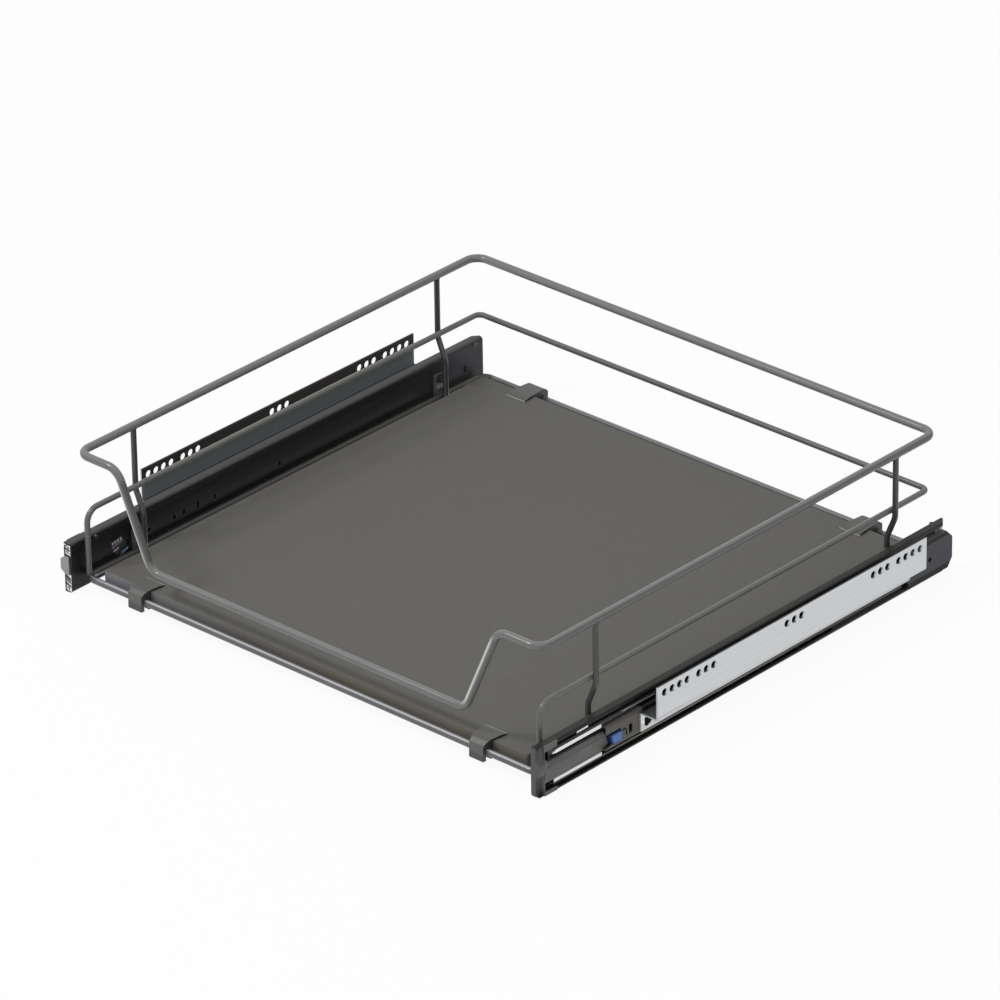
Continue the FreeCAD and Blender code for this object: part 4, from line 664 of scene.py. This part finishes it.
def carve(piece, knives):
    # Cuts the knives out of a piece and keeps the result as its mesh.
    mesh = bpy.data.meshes.new("knives")
    bmesh.ops.recalc_face_normals(knives, faces=knives.faces)
    knives.to_mesh(mesh)
    knives.free()
    holder = bpy.data.objects.new("knives", mesh)
    bpy.context.scene.collection.objects.link(holder)
    cut = piece.modifiers.new("cut", "BOOLEAN")
    cut.solver = "EXACT"
    cut.object = holder
    evaluated = piece.evaluated_get(bpy.context.evaluated_depsgraph_get())
    result = bpy.data.meshes.new_from_object(evaluated)
    piece.modifiers.remove(cut)
    piece.data = result
    bpy.data.objects.remove(holder)
    smoothFaces(result)


# Panel clips: narrow over the ring wire, wider at the tongue that holds the panel.
clipShape = {
    "noseHalf": 8.2, "tipHalf": 11.1,     # half widths over the wire and at the tongue's tip
    "blockInset": 0.8,                    # the block is this much narrower each side than the tongue
    "plateFrom": 9.0,                     # vertices further out than this belong to the tongue
    "shoulderReach": 7.0,                 # the shoulder's edges lie this near the nose
    "shoulderFrom": 16.0,                 # and start above this height
    "shoulderRound": 1.7, "shoulderSteps": 4,
    "levelWithin": 0.05,
    "edgeRound": 0.35,
}


def makeClip(name):
    build = copyNode(name)
    low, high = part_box(name)
    centre = (low.x + high.x) / 2 / mm
    nose, tip = (low.y / mm, high.y / mm) if low.y < 0 else (high.y / mm, low.y / mm)
    for vertex in build.verts:
        across = vertex.co.x / mm - centre
        reach = (vertex.co.y / mm - nose) / (tip - nose)
        half = clipShape["noseHalf"] + (clipShape["tipHalf"] - clipShape["noseHalf"]) * reach
        if abs(across) < clipShape["plateFrom"]:
            half -= clipShape["blockInset"]
        vertex.co.x = (centre + math.copysign(half, across)) * mm
    shoulder = []
    for edge in build.edges:
        first, second = (vertex.co for vertex in edge.verts)
        slope = abs(first.z - second.z) + abs(first.y - second.y)
        level = slope < clipShape["levelWithin"] * mm
        near = abs(first.y / mm - nose) < clipShape["shoulderReach"]
        if level and near and first.z / mm > clipShape["shoulderFrom"]:
            shoulder.append(edge)
    bmesh.ops.bevel(build, geom=shoulder, offset=clipShape["shoulderRound"] * mm,
                    segments=clipShape["shoulderSteps"], profile=0.5, affect="EDGES")
    piece = makePiece(name + "_moulding", build, finishes["clip_plastic"], "drawer",
                      clipShape["edgeRound"])
    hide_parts(name)


for clipName in ("front_left_panel_clip", "front_right_panel_clip", "rear_left_panel_clip",
                 "rear_right_panel_clip"):
    makeClip(clipName)
print("panel clips made")

# Front caps: the block is shallow above and below its nose. The left one has two bays in its face,
# where folded rail ends show.
capShape = {
    "shallow": 258.7,                     # how far out the block reaches beside its nose
    "block": (-253.0, -245.2),            # the block along the drawer
    "noseUp": 33.4, "noseDown": 17.4,
    "cutReach": 10.0,                     # how far out the cuts beside the nose go
    "cutTop": 60.0, "cutBottom": -20.0,
    "slant": 7.5,                         # how far the nose narrows over the cuts' reach
    "cornerWithin": 0.01,
    "bay": (252.7, 258.4),                # the bays across the drawer
    "bayDepth": -250.6,
    "bays": ((1.6, 17.2), (34.2, 44.0)),  # the bays' heights
    "liner": 0.3, "linerRound": 0.1,
    "lineStand": 0.6,                     # share of a line's radius that its centre stands proud
}
# The edges of the rail ends in the bays, as a radius and (across, up) points.
bayLines = {
    "blackMark": [
        (0.35, [(257.4, 43.6), (255.6, 43.1), (254.8, 42.0), (253.4, 41.4)]),
        (0.5, [(258.1, 40.9), (255.6, 40.2), (253.1, 39.2)]),
        (0.35, [(256.7, 38.3), (255.4, 37.7), (255.9, 36.5)]),
        (0.35, [(258.1, 34.9), (253.1, 34.6)]),
        (0.5, [(258.0, 15.4), (255.6, 14.5), (253.1, 13.2)]),
        (0.3, [(258.0, 11.4), (253.1, 9.4)]),
        (0.5, [(258.0, 8.8), (255.6, 7.6), (253.1, 6.2)]),
        (0.4, [(256.2, 5.6), (254.9, 4.7), (255.2, 3.2)]),
    ],
    "greyTab": [
        (0.55, [(258.0, 13.5), (255.6, 12.4), (253.1, 11.2)]),
        (0.3, [(254.2, 37.4), (253.4, 36.2)]),
    ],
}


def cutBesideNose(knives, side):
    # One slanted block above the nose and one below it.
    front, rear = capShape["block"]
    shallow = side * capShape["shallow"]
    far = shallow + side * capShape["cutReach"]
    for low, high, lean in ((capShape["noseUp"], capShape["cutTop"], -capShape["slant"]),
                            (capShape["cutBottom"], capShape["noseDown"], capShape["slant"])):
        beside = low if lean < 0 else high
        for vertex in addBlock(knives, (shallow, front, low), (far, rear, high)):
            offset = max(abs(vertex.co.z - beside * mm), abs(vertex.co.x - far * mm))
            if offset < capShape["cornerWithin"] * mm:
                vertex.co.z += lean * mm


def makeCap(sideName, side):
    name = sideName + "_front_cap"
    piece = makePiece(name + "_moulding", copyNode(name), finishes["cap_plastic"],
                      "drawer")
    knives = bmesh.new()
    cutBesideNose(knives, side)
    front, depth = capShape["block"][0], capShape["bayDepth"]
    near, outer = (side * value for value in capShape["bay"])
    if side == leftSide:
        for low, high in capShape["bays"]:
            addBlock(knives, (near, front, low), (outer, depth, high))
    carve(piece, knives)
    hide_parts(name)
    if side == leftSide:
        makeRailEnds(name, side, near, outer, depth)


def makeRailEnds(name, side, near, outer, depth):
    # A bright lining at the bottom of each bay, with the rail ends' edges on it.
    floor = depth - capShape["liner"]
    lining = bmesh.new()
    for low, high in capShape["bays"]:
        addBlock(lining, (near, floor, low), (outer, depth, high))
    makePiece(name + "_rail_ends", lining, extraFinishes["whiteStrip"], "drawer",
              capShape["linerRound"])
    for finish, lines in bayLines.items():
        ends = bmesh.new()
        for radius, path in lines:
            along = floor - radius * capShape["lineStand"]
            addTube(ends, [(side * across, along, up) for across, up in path], radius)
        makePiece(name + "_" + finish, ends, extraFinishes[finish], "drawer")


for sideName, side in sides:
    makeCap(sideName, side)
print("front caps made")

# The catch that shows at the window in each drawer rail's web, as (along, up) outlines.
latch = {
    "place": 252.55, "depth": 0.5, "edgeRound": 0.12,
    "teeth": 4, "toothPitch": 3.0, "toothLength": 2.0, "toothHeight": 2.3, "toothClimb": 0.45,
    "toothLean": 0.5,
    "firstTooth": (-203.2, 25.4),
    "tones": {
        "white": ("paleTab", [[(-195.4, 21.6), (-195.6, 20.2), (-201.6, 18.4), (-201.8, 19.9)]]),
        "grey": ("greyTab", [[(-190.6, 27.6), (-190.8, 25.4), (-203.4, 22.2), (-203.4, 23.9)],
                             [(-181.2, 12.6), (-192.6, 11.6), (-204.6, 10.6), (-192.4, 7.4)],
                             [(-191.6, 17.0), (-191.6, 8.2), (-193.4, 8.2), (-193.4, 16.4)]]),
        "blue": ("paleBlueTab", [[(-184.8, 17.8), (-185.0, 15.7), (-191.2, 13.9), (-191.4, 15.8)]]),
    },
    "spark": (-221.3, 42.2, 0.9),         # the small bright hole near the front, with its radius
    "sparkDepth": 0.15, "sparkSections": 14,
}


def combTeeth():
    # The outlines of the latch's comb, each tooth a little higher than the one before.
    outlines = []
    along, up = latch["firstTooth"]
    lean = latch["toothLean"]
    for index in range(latch["teeth"]):
        left, low = along + index * latch["toothPitch"], up + index * latch["toothClimb"]
        right, high = left + latch["toothLength"], low + latch["toothHeight"]
        outlines.append([(left, low), (right, low + lean), (right, high + lean), (left, high)])
    return outlines


for sideName, side in sides:
    for tone, (finish, outlines) in latch["tones"].items():
        catch = bmesh.new()
        for outline in outlines + (combTeeth() if tone == "white" else []):
            addPrism(catch, outline, side * latch["place"], -side * latch["depth"])
        if tone == "white":
            along, up, radius = latch["spark"]
            addTube(catch, [(side * latch["place"], along, up),
                            (side * (latch["place"] - latch["sparkDepth"]), along, up)],
                    radius, latch["sparkSections"])
        makePiece(sideName + "_latch_" + tone, catch, extraFinishes[finish], "drawer",
                  latch["edgeRound"])
print("latch details made")

# Weld beads where the basket's wires meet.
weld = {
    "topWire": 3.5, "hoopWire": 2.5, "ringWire": 3.0,      # wire radii
    "bead": 0.55, "beadWobble": 0.12, "turnSteps": 20,     # the beads round upright wires
    "nugget": (0.9, 2.1, 2.1),                             # half sizes of a spot weld
    "nuggetLump": 0.07, "nuggetWaves": (5, 3, 4),
    "tabBead": 9.0, "tabRadius": 0.7, "tabWobble": 0.15,   # the beads along the frame tabs
    "tabSteps": 8, "tabLifts": (-1.6, 1.6), "tabInset": 0.3,
}


def collar(build, centre, under, carrier, post, alongX):
    # A bead round an upright wire where it meets a level one, under it (1) or on top (-1).
    path = []
    for step in range(weld["turnSteps"]):
        turn = 2 * math.pi * step / weld["turnSteps"]
        across = math.cos(turn) * post
        along = math.sin(turn) * post
        drop = math.sqrt(carrier ** 2 - (along if alongX else across) ** 2)
        path.append((centre[0] + across, centre[1] + along, centre[2] - drop * under))
    addTube(build, path, weld["bead"], wobble=weld["beadWobble"], closed=True)


def addNugget(build, centre, reach):
    # The flat lumpy blob that spot welding squeezes out between two crossing wires.
    made = bmesh.ops.create_icosphere(build, subdivisions=3, radius=1.0)
    alongX, alongY, alongZ = weld["nuggetWaves"]
    for vertex in made["verts"]:
        where = vertex.co.copy()
        wave = math.sin(alongX * where.x + alongY * where.y) * math.cos(alongZ * where.z)
        lump = 1 + weld["nuggetLump"] * wave
        for axis in range(3):
            vertex.co[axis] = (centre[axis] + where[axis] * reach[axis] * lump) * mm


def makeWelds():
    build = bmesh.new()
    topBox, middleBox, ringBox = (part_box(name) for name in
                                  ("basket_top_rail", "basket_middle_rail", "basket_base_ring"))
    topZ = topBox[1].z / mm - weld["topWire"]
    middleX = middleBox[1].x / mm - weld["hoopWire"]
    middleZ = middleBox[1].z / mm - weld["hoopWire"]
    ringX = ringBox[1].x / mm - weld["ringWire"]
    ringZ = ringBox[1].z / mm - weld["ringWire"]
    footY = middleBox[0].y / mm + weld["hoopWire"]
    half = weld["tabBead"] / 2
    stride = weld["tabBead"] / weld["tabSteps"]
    for hoopName in ("front_hoop", "rear_hoop"):
        low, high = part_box(hoopName)
        hoopY = (low.y + high.y) / 2 / mm
        hoopX = high.x / mm - weld["hoopWire"]
        for side in (leftSide, rightSide):
            collar(build, (side * hoopX, hoopY, topZ), 1.0, weld["topWire"], weld["hoopWire"], False)
            addNugget(build, (side * (hoopX + middleX) / 2, hoopY, middleZ), weld["nugget"])
            addNugget(build, (side * ringX, hoopY, ringZ - weld["ringWire"]), weld["nugget"][::-1])
            tabX = side * (ringX + weld["ringWire"] - weld["tabInset"])
            for lift in weld["tabLifts"]:
                path = [(tabX, hoopY - half + stride * step, ringZ + lift)
                        for step in range(weld["tabSteps"] + 1)]
                addTube(build, path, weld["tabRadius"], wobble=weld["tabWobble"])
    for side in (leftSide, rightSide):
        collar(build, (side * middleX, footY, ringZ), -1.0, weld["ringWire"], weld["hoopWire"], True)
    makePiece("wireWelds", build, finishes["front_hoop"], "drawer")


makeWelds()
print("weld beads made")

# The bright front ends of the middle rails' edges, seen beside the front caps.
railStrips = {
    "place": 260.9, "depth": 1.4, "edgeRound": 0.25,
    "upper": [(-236.4, 34.6), (-232.0, 33.6), (-178.6, 33.5), (-178.6, 36.9), (-231.0, 36.9)],
    "lower": [(-234.6, 8.6), (-178.2, 8.5), (-178.2, 11.3), (-233.8, 11.3)],
}
for sideName, side in sides:
    strips = bmesh.new()
    for outline in (railStrips["upper"], railStrips["lower"]):
        addPrism(strips, outline, side * railStrips["place"], side * railStrips["depth"])
    makePiece(sideName + "_middle_rail_edges", strips, extraFinishes["whiteStrip"],
              sideName + "_middle_slide", railStrips["edgeRound"])

# The light blue push face on each release lever.
leverFace = {
    "sink": 0.05, "depth": 0.35, "edgeRound": 0.2,
    "outline": [(-169.6, 22.6), (-157.8, 23.0), (-158.4, 15.4), (-167.3, 15.4)],
}
for sideName, side in sides:
    face = bmesh.new()
    outer = outerFace(sideName + "_release_lever", side)
    addPrism(face, leverFace["outline"], outer - side * leverFace["sink"], side * leverFace["depth"])
    makePiece(sideName + "_lever_face", face, extraFinishes["blueFace"],
              sideName + "_lever", leverFace["edgeRound"])

# The hook-shaped bead pressed into each cabinet rail behind the lever.
hookBead = {
    "radius": 0.5,
    "path": [(-157.0, 22.6), (-155.6, 23.6), (-153.4, 23.4), (-152.4, 21.6), (-152.2, 17.6)],
}
for sideName, side in sides:
    hook = bmesh.new()
    outer = outerFace(sideName + "_cabinet_rail", side)
    addTube(hook, [(outer, along, up) for along, up in hookBead["path"]], hookBead["radius"])
    makePiece(sideName + "_rail_hook_bead", hook, extraFinishes["blackMark"],
              "cabinet_side")

# Painted highlights for the bright ends of the ball cages that show between the rails.
cageTipHighlight = {
    "outline": [(-206.7, 40.0), (-193.2, 40.2), (-193.2, 41.8), (-205.4, 41.6)],
    "place": 260.6, "depth": 0.9, "edgeRound": 0.2,
}
# A painted highlight along the top of each middle rail.
railCrestHighlight = {
    "outline": [(-154.4, 37.6), (-115.2, 36.8), (-115.2, 37.5), (-154.4, 38.3)],
    "place": 262.05, "depth": 0.25, "edgeRound": 0.08,
}
# A black plate of painted shade for the wide dark opening in each wall bracket's lower leaf, right
# behind its front end.
bracketOpeningShade = {
    "outline": [(-132.6, 24.0), (-131.8, 17.0), (-129.6, 16.2), (-125.6, 18.0), (-124.0, 19.8),
                (-126.0, 21.6), (-129.4, 24.6)],
    "place": 266.75, "depth": 0.25, "edgeRound": 0.0,
}
# A black disc of painted shade for the blind hole in each soft-close housing.
housingHoleShade = {"centre": (223.2, 20.4), "radius": 2.1, "sink": 0.3, "stand": 0.06, "sections": 18}


def makePlate(name, shape, side, finish, body):
    # A thin plate on one side of the drawer, from a shape's outline, place and depth.
    plate = bmesh.new()
    addPrism(plate, shape["outline"], side * shape["place"], side * shape["depth"])
    makePiece(name, plate, extraFinishes[finish], body, shape["edgeRound"])


# Painted highlights on the cage ends and rail crests, a black plate of painted shade in each bracket
# opening, and a black disc of painted shade in each housing hole.
for sideName, side in sides:
    makePlate(sideName + "_cage_tip_highlight", cageTipHighlight, side, "whiteStrip",
              sideName + "_outer_ball_cage")
    makePlate(sideName + "_rail_crest_highlight", railCrestHighlight, side, "paleTab",
              sideName + "_middle_slide")
    makePlate(sideName + "_bracket_opening_shade", bracketOpeningShade, side, "blackMark",
              "cabinet_side")
    holeShade = bmesh.new()
    outer = outerFace(sideName + "_soft_close_housing", side)
    along, up = housingHoleShade["centre"]
    ends = (outer - side * housingHoleShade["sink"], outer + side * housingHoleShade["stand"])
    addTube(holeShade, [(across, along, up) for across in ends], housingHoleShade["radius"],
            housingHoleShade["sections"])
    makePiece(sideName + "_housing_hole", holeShade, extraFinishes["blackMark"],
              "cabinet_side")
print("slide details made")

# Floor, light and camera. Lengths are in metres.
studio = {
    "floorHalf": 12.0, "floorGap": 0.0002,
    "floorColour": (0.93, 0.93, 0.93, 1.0), "floorRoughness": 0.9,
    "floorGlow": 0.93,        # share of the floor that stays white where the object shades it
    "ambient": 0.56, "ambientColour": (1.0, 1.0, 1.0, 1.0),
    "keyPower": 46.0, "keyPlace": (-1.5, -1.7, 2.9), "keySize": 0.8,
    "fillPower": 14.0, "fillPlace": (2.6, -1.2, 1.6), "fillSize": 2.4,
}


def seenRays(tree):
    # Rays that reach the eye straight, off a mirror or through glass.
    path = addNode(tree, "ShaderNodeLightPath")
    seen = mathNode(tree, "MAXIMUM", path.outputs["Is Camera Ray"], path.outputs["Is Glossy Ray"])
    return mathNode(tree, "MAXIMUM", seen, path.outputs["Is Transmission Ray"])


def blendShaders(tree, share, first, second, target):
    blend = addNode(tree, "ShaderNodeMixShader")
    for source, socket in zip((share, first.outputs[0], second.outputs[0]), blend.inputs):
        join(tree, source, socket)
    join(tree, blend.outputs[0], target)


def makeFloor():
    mesh = bpy.data.meshes.new("studioFloor")
    build = bmesh.new()
    bmesh.ops.create_grid(build, x_segments=8, y_segments=8, size=studio["floorHalf"])
    build.to_mesh(mesh)
    build.free()
    floor = bpy.data.objects.new("studioFloor", mesh)
    floor.location.z = cadBox[0].z - studio["floorGap"]
    bpy.context.scene.collection.objects.link(floor)
    material = bpy.data.materials.new("paleFloor")
    material.use_nodes = True
    tree = material.node_tree
    shader = tree.nodes["Principled BSDF"]
    shader.inputs["Base Color"].default_value = studio["floorColour"]
    shader.inputs["Roughness"].default_value = studio["floorRoughness"]
    share = mathNode(tree, "MULTIPLY", seenRays(tree), studio["floorGlow"])
    blendShaders(tree, share, shader, addNode(tree, "ShaderNodeEmission"),
                 tree.nodes["Material Output"].inputs["Surface"])
    mesh.materials.append(material)


def makeWorld():
    world = bpy.data.worlds.new("softWorld")
    world.use_nodes = True
    tree = world.node_tree
    ambient = tree.nodes["Background"]
    ambient.inputs["Strength"].default_value = studio["ambient"]
    ambient.inputs["Color"].default_value = studio["ambientColour"]
    blendShaders(tree, seenRays(tree), ambient, addNode(tree, "ShaderNodeBackground"),
                 tree.nodes["World Output"].inputs["Surface"])
    bpy.context.scene.world = world


def makeLamp(name, place, power, size):
    lamp = bpy.data.lights.new(name, "AREA")
    lamp.shape = "DISK"
    lamp.size = size
    lamp.energy = power
    holder = bpy.data.objects.new(name, lamp)
    holder.location = place
    holder.rotation_mode = "QUATERNION"
    holder.rotation_quaternion = (-Vector(place)).to_track_quat("-Z", "Y")
    bpy.context.scene.collection.objects.link(holder)


# The camera stands where the photograph was taken from.
viewpoint = {
    "place": (3.83533, -4.18891, 3.06682),
    "azimuth": 42.52, "elevation": 27.79, "roll": -0.83,
    "focalPixels": 7869.9, "imagePixels": 1000.0,
    "sensor": 36.0,
    "clip": (0.1, 60.0),
}


def makeCamera():
    turn, tilt, roll = (math.radians(viewpoint[key]) for key in ("azimuth", "elevation", "roll"))
    back = Vector((math.sin(turn) * math.cos(tilt), -math.cos(turn) * math.cos(tilt), math.sin(tilt)))
    level = Vector((math.cos(turn), math.sin(turn), 0.0))
    upright = back.cross(level)
    right = level * math.cos(roll) + upright * math.sin(roll)
    up = upright * math.cos(roll) - level * math.sin(roll)
    data = bpy.data.cameras.new("photoCamera")
    data.sensor_width = viewpoint["sensor"]
    data.lens = viewpoint["focalPixels"] / viewpoint["imagePixels"] * viewpoint["sensor"]
    data.clip_start, data.clip_end = viewpoint["clip"]
    camera = bpy.data.objects.new("photoCamera", data)
    stance = Matrix((right, up, back)).transposed().to_4x4()
    camera.matrix_world = Matrix.Translation(viewpoint["place"]) @ stance
    bpy.context.scene.collection.objects.link(camera)
    bpy.context.scene.camera = camera


makeFloor()
makeWorld()
makeLamp("keyLamp", studio["keyPlace"], studio["keyPower"], studio["keySize"])
makeLamp("fillLamp", studio["fillPlace"], studio["fillPower"], studio["fillSize"])
makeCamera()
bpy.context.scene.view_settings.view_transform = "Standard"
print("studio ready")
